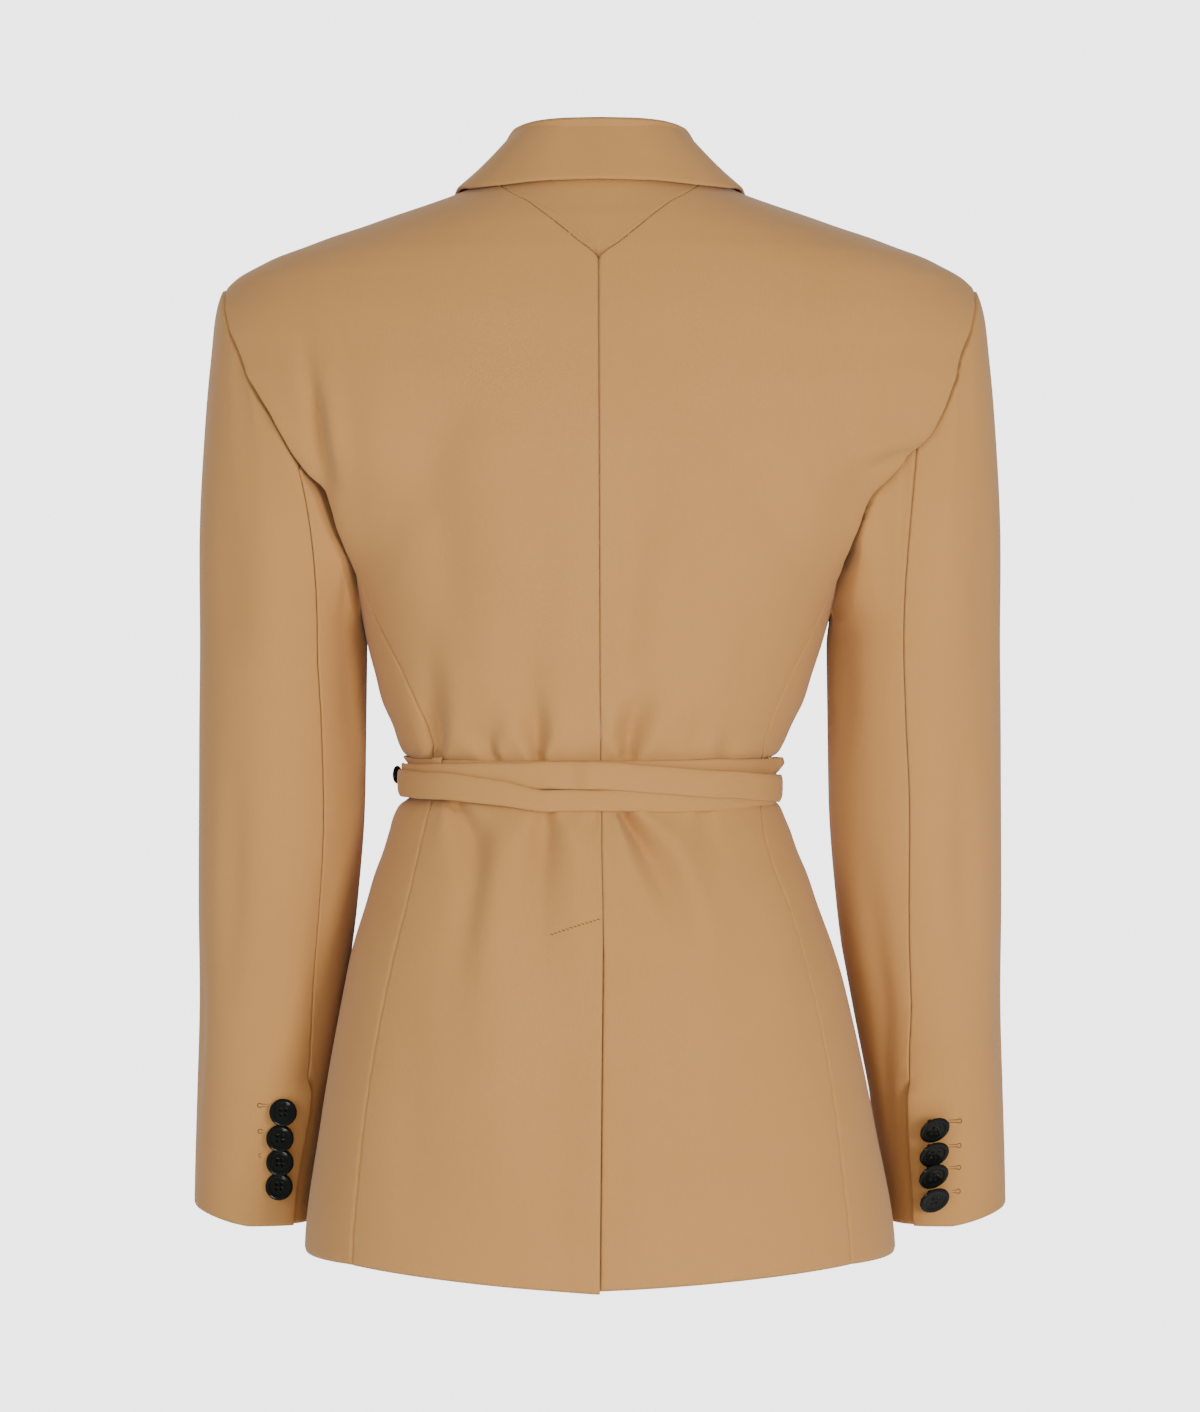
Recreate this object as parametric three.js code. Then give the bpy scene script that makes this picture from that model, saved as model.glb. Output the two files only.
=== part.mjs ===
// Tie-waist blazer, millimetres, Z up. The wearer faces -Y and the wearer's left is +X.
// Origin: level with the top of the back neck seam, midway between the shoulders.
import * as THREE from "three";

const WALL = 1.8; // cloth with its facing or turned edge
const SEAM = 0.18; // each piece stops this far short of a seam line
const RAD = Math.PI / 180;
const SIDES = [[1, "left"], [-1, "right"]];
const V = (x, y, z) => new THREE.Vector3(x, y, z);
const clamp = (x) => Math.max(0, Math.min(1, x));

// A smooth curve through a table's rows; the first column runs downwards.
function curve(rows, col) {
  const last = rows.length - 1;
  const rise = (i) => (rows[i][col] - rows[i - 1][col]) / (rows[i][0] - rows[i - 1][0]);
  const slope = rows.map((_, i) => {
    if (i === 0 || i === last) return 0;
    const a = rise(i);
    const b = rise(i + 1);
    return a * b <= 0 ? 0 : (2 * a * b) / (a + b);
  });
  return (q) => {
    if (q >= rows[0][0]) return rows[0][col];
    if (q <= rows[last][0]) return rows[last][col];
    let i = 1;
    while (rows[i][0] > q) i++;
    const step = rows[i][0] - rows[i - 1][0];
    const t = (q - rows[i - 1][0]) / step;
    const t2 = t * t;
    const t3 = t2 * t;
    const from = rows[i - 1][col] * (2 * t3 - 3 * t2 + 1) + slope[i - 1] * step * (t3 - 2 * t2 + t);
    return from + rows[i][col] * (3 * t2 - 2 * t3) + slope[i] * step * (t3 - t2);
  };
}

// Level cuts of the body: z, half width, sideways shift, depth behind, depth in front, squareness.
const LEVELS = [
  [3, 66, 0, 68.5, 39, 2], [-3, 79, 0, 72.5, 43, 2], [-9, 93.5, 0, 76, 48, 2], [-15.4, 112, 0, 79, 52, 2],
  [-21.5, 130.5, 0, 82, 56, 2], [-28, 149, 0, 85.5, 60, 2], [-34, 167.5, 0, 88, 64, 2],
  [-40, 183.5, 0, 90.5, 67, 2], [-46, 200, 0, 93, 70, 2], [-52, 212, 0, 95, 73, 2],
  [-58, 222.6, 0, 97, 76, 2], [-64, 229, 0, 99, 79, 2], [-85, 244.5, 0, 105, 87, 2],
  [-100, 249, 0, 108, 91, 2], [-120, 248.5, 0, 111.5, 95, 2.04], [-130, 244.5, 0, 113, 97, 2.07],
  [-150, 232, 0, 115, 101, 2.12], [-168, 213, 0, 116.3, 104, 2.19], [-180, 197.5, 0, 116.3, 107, 2.25],
  [-193, 181, 0.3, 115.8, 110, 2.31], [-218, 165, 1, 113.5, 113, 2.38], [-240, 153, 1.6, 111, 114, 2.4],
  [-262, 145, 2.4, 107, 112, 2.4], [-286, 138.5, 3.4, 102.5, 108, 2.4], [-301, 134, 3.9, 99.5, 105, 2.4],
  [-317, 129.5, 4.4, 96, 101, 2.4], [-332, 122.5, 4.8, 92.5, 97, 2.4], [-346, 115, 5.6, 89, 92.5, 2.4],
  [-350.5, 109.4, 5.8, 86.6, 88.6, 2.4], [-356, 108.6, 5.9, 86, 88, 2.4], [-368, 108.6, 6, 86, 88, 2.4],
  [-380, 112, 6.4, 87, 89, 2.4], [-389, 119.4, 6.8, 90.6, 93, 2.4], [-396, 122.6, 6.3, 93.4, 95.8, 2.4],
  [-409, 127, 6, 97, 99, 2.4], [-424, 133, 5.6, 101, 102, 2.4], [-440, 138, 5.2, 105, 105, 2.4],
  [-470, 148, 4.3, 110.5, 110, 2.4], [-490, 153, 3.4, 114, 112, 2.42], [-574, 169.5, 1.6, 124, 118, 2.46],
  [-657, 181, 0, 132, 121, 2.5],
];
const [halfWidth, shift, behind, ahead, square] = [1, 2, 3, 4, 5].map((c) => curve(LEVELS, c));

// Soft folds: x, z, lean of the fold in degrees, half length, half width, height (below zero is a hollow).
const BACK_FOLDS = [
  [98, -338, 20, 16, 6, -4.5], [64, -336, -8, 15, 6, -3], [37, -334, 5, 15, 6, -2.6],
  [-20, -330, -28, 22, 7, -3.6], [-60, -334, -12, 15, 7, -2.4], [80, -398, 14, 17, 7, -3],
  [33, -402, 4, 20, 7, -2.8], [-24, -404, 24, 22, 7, -3.2], [-66, -400, -10, 17, 7, -2.4],
  [160, -150, -14, 44, 9, -5], [-172, -160, 30, 30, 9, -3.5], [78, -300, 12, 34, 14, 2.4],
  [-70, -300, -10, 34, 14, 2.2], [110, -190, -30, 60, 16, -2.6], [-104, -205, 32, 60, 16, -2.4],
  [60, -520, 2, 90, 20, 2.6], [-62, -530, -2, 90, 20, 2.4],
];
const FRONT_FOLDS = [
  [80, -334, -10, 16, 7, -3], [44, -332, 8, 15, 7, -2.6], [-48, -334, -8, 16, 7, -3],
  [-84, -332, 10, 15, 7, -2.6], [70, -402, 8, 18, 8, -3], [-72, -402, -8, 18, 8, -2.8],
  [100, -500, 2, 90, 20, 2.4], [-100, -500, -2, 90, 20, 2.4],
];
const BELT_LEVEL = -367;
const BELT_REACH = 22; // the belt presses folds flat within about this distance

function foldHeight(x, z, front) {
  const calm = 1 - Math.exp(-(((z - BELT_LEVEL) / BELT_REACH) ** 4));
  let height = 0;
  for (const [fx, fz, lean, long, wide, high] of front ? FRONT_FOLDS : BACK_FOLDS) {
    const c = Math.cos(lean * RAD);
    const s = Math.sin(lean * RAD);
    const along = ((z - fz) * c + (x - fx) * s) / long;
    const across = ((x - fx) * c - (z - fz) * s) / wide;
    height += high * Math.exp(-along * along - across * across);
  }
  return height * calm;
}

// Bare level cut. turn is 0 at the centre back, 90 degrees at the wearer's left, 180 at the centre front.
function bare(turn, z) {
  const n = square(z);
  const s = Math.sin(turn);
  const c = Math.cos(turn);
  const r = (Math.abs(s) ** n + Math.abs(c) ** n) ** (-1 / n);
  return V(shift(z) + halfWidth(z) * s * r, (c > 0 ? behind(z) : ahead(z)) * c * r, z);
}

function outward(turn, z) {
  const around = bare(turn + 0.01, z).sub(bare(turn - 0.01, z));
  const down = bare(turn, z - 0.5).sub(bare(turn, z + 0.5));
  return around.cross(down).normalize();
}

// A point of the body cloth, moved out along its normal. Folds fade towards the sides, where faces meet.
const FADE = 4;
function body(turn, z, out = 0) {
  const p = bare(turn, z);
  const fade = Math.min(1, Math.abs(Math.cos(turn)) * FADE);
  return p.addScaledVector(outward(turn, z), out + fade * foldHeight(p.x, z, Math.cos(turn) < 0));
}

// The turn whose bare point has this x, on the back or the front half.
function turnAt(x, z, front = false) {
  const n = square(z);
  const q = Math.max(-1, Math.min(1, (x - shift(z)) / halfWidth(z)));
  const c = (1 - Math.abs(q) ** n) ** (1 / n);
  return Math.atan2(q, front ? -c : c);
}

// Closed sheet from a grid of points: at(i, j, out) gives a point at that height over the sheet's face.
// trim says how many seam gaps each side stops short (start and end of i, start and end of j), and
// inset how much shorter the inner layer is on each of them.
function sheet(nu, nv, at, { wall = WALL, trim = [1, 1, 1, 1], inset = [0, 0, 0, 0] } = {}) {
  const layers = [0, 1].map((k) => {
    const grid = [];
    for (let j = 0; j <= nv; j++) {
      grid.push([]);
      for (let i = 0; i <= nu; i++) grid[j].push(at(i, j, -k * wall));
    }
    const pull = (p, q, far) => p.addScaledVector(q.clone().sub(p).normalize(), far);
    const short = (s) => trim[s] * SEAM + k * inset[s];
    for (let j = 0; j <= nv; j++) {
      if (short(0)) pull(grid[j][0], grid[j][1], short(0));
      if (short(1)) pull(grid[j][nu], grid[j][nu - 1], short(1));
    }
    for (let i = 0; i <= nu; i++) {
      if (short(2)) pull(grid[0][i], grid[1][i], short(2));
      if (short(3)) pull(grid[nv][i], grid[nv - 1][i], short(3));
    }
    return grid;
  });
  const points = layers.flat(2);
  const index = [];
  const id = (i, j, k) => (k * (nv + 1) + j) * (nu + 1) + i;
  const quad = (a, b, c, d) => index.push(a, b, c, a, c, d);
  for (let j = 0; j < nv; j++)
    for (let i = 0; i < nu; i++) {
      quad(id(i, j, 0), id(i, j + 1, 0), id(i + 1, j + 1, 0), id(i + 1, j, 0));
      quad(id(i, j, 1), id(i + 1, j, 1), id(i + 1, j + 1, 1), id(i, j + 1, 1));
    }
  for (let i = 0; i < nu; i++) {
    quad(id(i, 0, 0), id(i + 1, 0, 0), id(i + 1, 0, 1), id(i, 0, 1));
    quad(id(i, nv, 0), id(i, nv, 1), id(i + 1, nv, 1), id(i + 1, nv, 0));
  }
  for (let j = 0; j < nv; j++) {
    quad(id(0, j, 0), id(0, j, 1), id(0, j + 1, 1), id(0, j + 1, 0));
    quad(id(nu, j, 0), id(nu, j + 1, 0), id(nu, j + 1, 1), id(nu, j, 1));
  }
  return facingOut(points, index);
}

// Geometry from points and triangles; whichever way they run, the faces end up turned outwards.
function facingOut(points, index) {
  let volume = 0;
  for (let k = 0; k < index.length; k += 3)
    volume += points[index[k]].dot(points[index[k + 1]].clone().cross(points[index[k + 2]]));
  if (volume < 0) index.reverse();
  const geometry = new THREE.BufferGeometry();
  geometry.setAttribute("position", new THREE.Float32BufferAttribute(points.flatMap((p) => p.toArray()), 3));
  geometry.setIndex(index);
  return geometry;
}

const CLOTH = new THREE.MeshStandardMaterial({ color: 0xc09868, roughness: 0.9 });
const BLACK = new THREE.MeshStandardMaterial({ color: 0x14140f, roughness: 0.25 });
const root = new THREE.Group();
function add(name, geometry, material = CLOTH) {
  const mesh = new THREE.Mesh(geometry, material);
  mesh.name = name;
  root.add(mesh);
}

// Armhole: a loop on the body in 24 steps, 0 at the shoulder tip, 6 behind, 12 under the arm, 18 in front.
const ARM = { z: -163, high: 99, back: 64, front: 60, steps: 24 };
// Behind, the left loop runs a little nearer the centre at this level and the right one a little further out.
const ARM_EASE = { at: -150, over: 26, 1: 4, [-1]: -2.5 };
const stepAngle = (step) => (step * 2 * Math.PI) / ARM.steps;
const armLevel = (step) => ARM.z + ARM.high * Math.cos(stepAngle(step));
function armhole(side, step, out = 0) {
  const z = armLevel(step);
  const s = Math.sin(stepAngle(step));
  const ease = ARM_EASE[side] * Math.exp(-(((z - ARM_EASE.at) / ARM_EASE.over) ** 2));
  const y = s * (s > 0 ? ARM.back + ease : ARM.front);
  const n = square(z);
  const q = Math.min(1, Math.abs(y) / (y > 0 ? behind(z) : ahead(z)));
  const turn = Math.atan2(side * (1 - q ** n) ** (1 / n), Math.sign(y) * q);
  return { z, turn, point: body(turn, z, out) };
}
const SIDE_STEP = 9; // the side seams leave the armhole here
const SIDE_TOP = armLevel(SIDE_STEP);

// Seam lines as sideways distances: z, wearer's left, wearer's right.
const SIDE_SEAM = [
  [SIDE_TOP, Math.abs(armhole(1, SIDE_STEP).point.x), Math.abs(armhole(-1, SIDE_STEP).point.x)],
  [-245.5, 145.6, 143.8], [-271.6, 133.1, 130.5], [-303, 117, 114], [-336, 105.1, 101],
  [-351.7, 101.7, 98], [-375.2, 101.2, 97], [-391.9, 105.1, 98], [-412.7, 109.6, 102.5],
  [-438.2, 115.4, 111.5], [-468.5, 123, 121], [-502, 130.1, 129.8], [-543, 137.1, 137.6],
  [-596.5, 143.4, 144.4], [-652, 147.2, 149.1],
];
const YOKE_TIP = -55.7;
const YOKE_SEAM = [
  [3, 66.5, 66.5], [-6.5, 57.7, 57], [-21.6, 41.8, 42.5], [-35.8, 22, 26], [-47.7, 8.9, 10.5],
  [YOKE_TIP, 0.9, -0.9],
];
const CENTRE_SEAM = [
  [YOKE_TIP, 0.9], [-140, 0.6], [-258, 0], [-352, -0.4], [-411, -1.2], [-445, -1.8], [-551, -0.9],
  [-661, 0],
];
const ROLL_LINE = [
  [3, 66], [-30, 65], [-60, 61], [-150, 48], [-250, 27], [-320, 8], [-340, 2], [-350, -20], [-664, -20],
];
const LAPEL_EDGE = [[-50, 100], [-74, 112], [-130, 108], [-200, 86], [-270, 52], [-320, 20], [-338, 5]];
const sideX = { 1: curve(SIDE_SEAM, 1), [-1]: curve(SIDE_SEAM, 2) };
const yokeX = { 1: curve(YOKE_SEAM, 1), [-1]: curve(YOKE_SEAM, 2) };
const centreX = curve(CENTRE_SEAM, 1);
const rollX = curve(ROLL_LINE, 1);
const lapelX = curve(LAPEL_EDGE, 1);

// Rows of the panels: the neck and shoulder, the armhole's own levels, then down to the hem.
const NECK_ROWS = [3, -4, -12, -21, -31, -43, YOKE_TIP];
const BODY_ROWS = [
  -248, -263, -280, -298, -315, -330, -341, -350.5, -367, -383, -389.5, -398, -411, -426, -440, -456,
  -476, -500, -530, -565, -605, -660,
];
const SHOULDER_ROW = NECK_ROWS.length;
const SIDE_ROW = SHOULDER_ROW + SIDE_STEP;
const ARM_ROWS = Array.from({ length: SIDE_STEP + 1 }, (_, k) => armLevel(k));
const ROWS = [...NECK_ROWS, ...ARM_ROWS, ...BODY_ROWS];

// Rows near the hem bend to its line: level in front, lowest at the centre back.
const HEM = { from: -565, last: -660, front: -656, back: -652, reach: 150, dip: { 1: 12, [-1]: 10.5 } };
function hemmed(row, x, front, side) {
  if (row > HEM.from) return row;
  const near = Math.min(1, Math.abs(x) / HEM.reach);
  const hem = front ? HEM.front : HEM.back - HEM.dip[side] * (1 - near ** 1.2);
  return HEM.from + ((row - HEM.from) * (hem - HEM.from)) / (HEM.last - HEM.from);
}

// Outer edge of a panel: ridge of the shoulder, then the armhole, then the side seam.
function outerTurn(side, j, front) {
  if (j <= SHOULDER_ROW) return (side * Math.PI) / 2;
  const step = j - SHOULDER_ROW;
  if (j <= SIDE_ROW) return armhole(side, front ? ARM.steps - step : step).turn;
  return turnAt(side * sideX[side](ROWS[j]), ROWS[j], front);
}

// Inner edge: the lapel's roll line in front; behind, the yoke seam and then the centre back seam.
function innerTurn(side, j, front) {
  const z = ROWS[j];
  if (front) return turnAt(side * rollX(z), z, true);
  return z >= YOKE_TIP ? turnAt(side * yokeX[side](z), z) : turnAt(centreX(z), z);
}

// Front turns of the far half are carried past 180 degrees, so a row never jumps.
const JUMP = 0.6;
function unwrap(turn, side) {
  return side * turn < -JUMP ? turn + side * 2 * Math.PI : turn;
}

// The right front passes over the left one below the waist.
const LAP = { lift: 2.6, top: -300, rise: 30, past: 12, start: 2.6 };
function overlap(turn, z, side) {
  if (side > 0 || z > LAP.top || Math.cos(turn) >= 0) return 0;
  const far = clamp((shift(z) - bare(turn, z).x) / LAP.past - LAP.start);
  return LAP.lift * (1 - far * far * (3 - 2 * far)) * Math.min(1, (LAP.top - z) / LAP.rise);
}

const PANEL_COLS = { back: 10, front: 9 };
function panel(side, front) {
  const columns = front ? PANEL_COLS.front : PANEL_COLS.back;
  const at = (i, j, out) => {
    const start = unwrap(innerTurn(side, j, front), side);
    const end = unwrap(outerTurn(side, j, front), side);
    const turn = start + ((end - start) * i) / columns;
    const z = hemmed(ROWS[j], bare(turn, ROWS[j]).x, front, side);
    return body(turn, z, out + (front ? overlap(turn, z, side) : 0));
  };
  return sheet(columns, ROWS.length - 1, at, { trim: [1, 1, 1, 0], inset: [0, 0.9, 0, 0] });
}
for (const [side, name] of SIDES) {
  add("back_" + name, panel(side, false));
  add("front_" + name, panel(side, true));
}

// Back neck yoke: a downward point between the two back panels.
const YOKE_ROWS = [...NECK_ROWS.filter((z) => z >= -43), -50, -54.9];
const YOKE_COLS = 8;
function yokePoint(i, j, out) {
  const z = YOKE_ROWS[j];
  const start = turnAt(-yokeX[-1](z), z);
  const end = turnAt(yokeX[1](z), z);
  return body(start + ((end - start) * i) / YOKE_COLS, z, out);
}
add("back_yoke", sheet(YOKE_COLS, YOKE_ROWS.length - 1, yokePoint));

// Vent: a strip of the right back that runs on under the open edge of the left back.
const VENT_ROWS = [-450, -475, -500, -530, -565, -605, -655];
const VENT = { start: 0.6, column: 9.5, below: 1.1, wall: 1.4 };
function ventPoint(i, j, out) {
  const z = VENT_ROWS[j];
  return body(turnAt(centreX(z) + VENT.start + VENT.column * i, z), z, out - WALL - VENT.below);
}
add("vent_underlap", sheet(3, VENT_ROWS.length - 1, ventPoint, { wall: VENT.wall, trim: [0, 0, 0, 0] }));

// Side panels, from the underarm to the hem. The top row is the bottom of the armhole and the next
// rows ease to level ones with even columns.
const SIDE_COLS = ARM.steps - 2 * SIDE_STEP;
const EASE = { rows: 1.5, level: 4 };
function sidePoint(side, i, j, out) {
  const loop = armhole(side, SIDE_STEP + i);
  if (j === 0) return body(loop.turn, loop.z, out);
  const row = ROWS[SIDE_ROW + j];
  const start = unwrap(outerTurn(side, SIDE_ROW + j, false), side);
  const end = unwrap(outerTurn(side, SIDE_ROW + j, true), side);
  const even = start + ((end - start) * i) / SIDE_COLS;
  const onSeam = i === 0 || i === SIDE_COLS;
  const turn = onSeam ? even : even + (unwrap(loop.turn, side) - even) * Math.exp(-j / EASE.rows);
  const hung = Math.min(row, loop.z + (row - SIDE_TOP) * 0.9);
  const z = onSeam ? row : row + (hung - row) * Math.max(0, 1 - j / EASE.level);
  return body(turn, hemmed(z, bare(turn, z).x, Math.cos(turn) < 0, side), out);
}
for (const [side, name] of SIDES) {
  const at = (i, j, out) => sidePoint(side, i, j, out);
  add("side_" + name, sheet(SIDE_COLS, BODY_ROWS.length, at, { trim: [1, 1, 3, 0] }));
}

// Sleeve cuts: z, centre x, centre y, half width, half depth.
const SLEEVE = [
  [-282, 194.6, -2, 51.4, 62], [-330, 195.3, -5, 51.4, 60], [-378, 196, -8, 51.2, 58],
  [-440, 199, -16, 49.2, 55], [-502, 203.8, -28, 45.2, 52], [-563, 209.8, -38, 41.6, 50],
  [-640, 216, -50, 38, 47],
];
const [armX, armY, armWide, armDeep] = [1, 2, 3, 4].map((c) => curve(SLEEVE, c));
// How many degrees the elbow seam lies towards the body: z, wearer's left, wearer's right.
const ELBOW = [
  [-282, 28.6, 11.1], [-330, 32, 10], [-378, 34.5, 8.1], [-440, 37.3, 11.2], [-502, 40.2, 16.3],
  [-545, 44, 26], [-563, 45, 28], [-600, 42.5, 32], [-640, 40, 33],
];
const elbowTwist = { 1: curve(ELBOW, 1), [-1]: curve(ELBOW, 2) };
const FRONT_TWIST = -18; // degrees, of the seam in front of the arm
// Shares of the way down the sleeve's cap, then levels of the tube below it.
const CAP = [0, 0.1, 0.24, 0.44, 0.7];
const TUBE = [-282, -318, -358, -400, -440, -480, -520, -548, -562, -574, -592, -612, -640];
// z, degrees round, half length, half width in degrees, height.
const SLEEVE_FOLDS = [
  [-300, 150, 40, 14, -4], [-420, 60, 60, 12, -3], [-470, 130, 50, 12, -2.6], [-380, 330, 60, 14, -2.6],
  [-520, 20, 50, 12, -2.2],
];
// The right sleeve hangs a little fuller on its inner side above the cuff.
const FULLER = { wide: 1.9, from: -560, over: 90 };

function tube(side, angle, z, out) {
  let fold = 0;
  for (const [fz, degrees, long, wide, high] of SLEEVE_FOLDS) {
    const off = ((angle / RAD - degrees + 540) % 360) - 180;
    fold += high * Math.exp(-(((z - fz) / long) ** 2) - (off / wide) ** 2);
  }
  const fuller = side > 0 ? 0 : FULLER.wide * clamp((z - FULLER.from) / FULLER.over);
  const nx = Math.cos(angle) / armWide(z);
  const ny = Math.sin(angle) / armDeep(z);
  const away = (out + fold) / Math.hypot(nx, ny);
  const x = armX(z) - fuller + (armWide(z) + fuller) * Math.cos(angle) + away * nx;
  return V(side * x, armY(z) + armDeep(z) * Math.sin(angle) + away * ny, z);
}

function ringAngle(side, step, z) {
  const a = stepAngle(step);
  const twist = Math.sin(a) > 0 ? elbowTwist[side](z) : FRONT_TWIST;
  return a + twist * RAD * Math.sin(a) ** 2;
}

// The cuff is cut a little shorter on its outer side.
const CUFF = { from: -592, last: -640, inner: -641, rise: 9.5, bend: 1.3 };
function cuffed(row, angle) {
  if (row > CUFF.from) return row;
  const hem = CUFF.inner + CUFF.rise * clamp(Math.cos(angle)) ** CUFF.bend;
  return CUFF.from + ((row - CUFF.from) * (hem - CUFF.from)) / (CUFF.last - CUFF.from);
}

// The line of the cap that leaves the armhole at this step and ends straight down in the first ring.
const LEAN_IN = { 1: 0.45, [-1]: 0.25 }; // behind the arm the lines leave towards the body
function capLine(side, step) {
  const a = stepAngle(step);
  const low = (1 - Math.cos(a)) / 2;
  const hole = armhole(side, step);
  const start = hole.point.addScaledVector(outward(hole.turn, hole.z), 0.5 * Math.max(0, low * 2 - 1));
  const end = tube(side, ringAngle(side, step, TUBE[0]), TUBE[0], 0);
  const leanIn = LEAN_IN[side] * clamp(Math.sin(a)) ** 2;
  const sideways = 0.3 * (1 - low) + 0.03 - leanIn;
  const leave = V(side * sideways, 0.2 * Math.sin(a) * (1 - low), -0.9).normalize();
  const far = start.distanceTo(end);
  return (t) => {
    const t2 = t * t;
    const t3 = t2 * t;
    return start.clone().multiplyScalar(2 * t3 - 3 * t2 + 1)
      .addScaledVector(leave, far * (t3 - 2 * t2 + t))
      .addScaledVector(end, 3 * t2 - 2 * t3)
      .addScaledVector(V(0, 0, -1), far * (t3 - t2));
  };
}

function sleevePoint(side, step, j, out, extra = 0) {
  if (j >= CAP.length) {
    const row = TUBE[j - CAP.length];
    const angle = ringAngle(side, step, row) + extra;
    return tube(side, angle, cuffed(row, angle), out);
  }
  const t = CAP[j];
  const here = capLine(side, step);
  const along = here(Math.min(1, t + 0.02)).sub(here(Math.max(0, t - 0.02)));
  const round = capLine(side, step + 0.05)(t).sub(capLine(side, step - 0.05)(t));
  return here(t).addScaledVector(along.cross(round).normalize(), side * out);
}

// At the cuff the top piece laps over the under piece and isn't sewn to it.
const CUFF_VENT = { lift: 3.1, lap: 6 * RAD, liftRow: CAP.length + 7, lapRow: CAP.length + 8 };
const SLEEVE_ROWS = CAP.length + TUBE.length - 1;
const QUARTER = ARM.steps / 4;
function topPoint(side, i, j, out) {
  const near = [1, 0.9][i] ?? 0;
  const lift = CUFF_VENT.lift * near * clamp(j - CUFF_VENT.liftRow);
  const lap = i === 0 ? CUFF_VENT.lap * clamp(j - CUFF_VENT.lapRow) : 0;
  return sleevePoint(side, QUARTER - i, j, out + lift, lap);
}
for (const [side, name] of SIDES) {
  const top = (i, j, out) => topPoint(side, i, j, out);
  const under = (i, j, out) => sleevePoint(side, QUARTER + i, j, out);
  const sewn = { trim: [1, 1, 2, 0] };
  add("top_sleeve_" + name, sheet(2 * QUARTER, SLEEVE_ROWS, top, { ...sewn, inset: [0, 0, 1.2, 0] }));
  add("under_sleeve_" + name, sheet(2 * QUARTER, SLEEVE_ROWS, under, sewn));
}

// Collar, centre back to front end. A spot on the body is x, z, height, and 1 where it is on the front.
const COLLAR = [
  { t: 0, seam: [0, 3.9, 0, 0], fold: [0, 62, 33], edge: [0, -6, 6.5, 0] },
  { t: 0.2, seam: [24, 3.9, 0, 0], fold: [21, 60, 32.9], edge: [33, -6.5, 5.4, 0] },
  { t: 0.4, seam: [45, 3.9, 0, 0], fold: [39, 49, 32.6], edge: [60, -7, 4.4, 0] },
  { t: 0.6, seam: [60, 3.9, 0, 0], fold: [50, 31, 31.6], edge: [79, -6.6, 4.2, 0] },
  { t: 0.72, seam: [65.5, 3.9, 0, 0], fold: [58.5, 7, 22.5], edge: [87.5, -5.8, 4.6, 0] },
  { t: 0.8, seam: [66, -1, 3.9, 1], fold: [63.5, -20, 9], edge: [96, -14, 5, 1] },
  { t: 0.89, seam: [65, -20, 3.4, 1], fold: [66, -50, -12], edge: [104, -32, 5, 1] },
  { t: 1, seam: [62.5, -47, 3.2, 1], fold: [63.5, -70, -43], edge: [99, -58, 4.2, 1] },
];
const COLLAR_BEND = 0.38; // share of the width between the seam and the fold
const COLLAR_ROUND = 0.16; // how full the fall is at the centre back; it flattens towards the fronts
const COLLAR_COLS = 22;
const COLLAR_W = [0, 0.17, 0.34, COLLAR_BEND, 0.44, 0.55, 0.7, 0.85, 1];

// A smooth line through one point of each row of the table.
function collarLine(pointOf) {
  const points = COLLAR.map(pointOf);
  const [x, y, z] = ["x", "y", "z"].map((key) => curve(points.map((p, k) => [-COLLAR[k].t, p[key]]), 1));
  return (t) => V(x(-t), y(-t), z(-t));
}
const onBody = ([x, z, out, front]) => body(turnAt(x, z, front === 1), z, out);
const collarSeam = collarLine((row) => onBody(row.seam));
const collarFold = collarLine((row) => V(...row.fold));
const collarEdge = collarLine((row) => onBody(row.edge));

function bezier(a, m, b, q) {
  return a.clone().multiplyScalar((1 - q) ** 2).addScaledVector(m, 2 * q * (1 - q)).addScaledVector(b, q * q);
}

// u runs from one front end, -1, to the other, 1; w runs from the neck seam over the fold to the edge.
function collarPoint(u, w) {
  const t = Math.abs(u);
  const seam = collarSeam(t);
  const fold = collarFold(t);
  const edge = collarEdge(t);
  const stand = seam.clone().lerp(fold, 0.5).add(V(0, 0, 1.5));
  const round = COLLAR_ROUND * (1 - 0.8 * t);
  const fall = fold.clone().lerp(edge, 0.4).add(fold.clone().sub(seam).multiplyScalar(round));
  const p = w < COLLAR_BEND
    ? bezier(seam, stand, fold, w / COLLAR_BEND)
    : bezier(fold, fall, edge, (w - COLLAR_BEND) / (1 - COLLAR_BEND));
  if (u < 0) p.x *= -1;
  return p;
}
function collarSheet(i, j, out) {
  const u = -1 + (2 * i) / COLLAR_COLS;
  const w = COLLAR_W[j];
  const along = collarPoint(Math.min(1, u + 0.01), w).sub(collarPoint(Math.max(-1, u - 0.01), w));
  const across = collarPoint(u, Math.min(1, w + 0.01)).sub(collarPoint(u, Math.max(0, w - 0.01)));
  return collarPoint(u, w).addScaledVector(along.cross(across).normalize(), out);
}
add("collar", sheet(COLLAR_COLS, COLLAR_W.length - 1, collarSheet, { wall: 2, trim: [1, 1, 0, 0] }));

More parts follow.
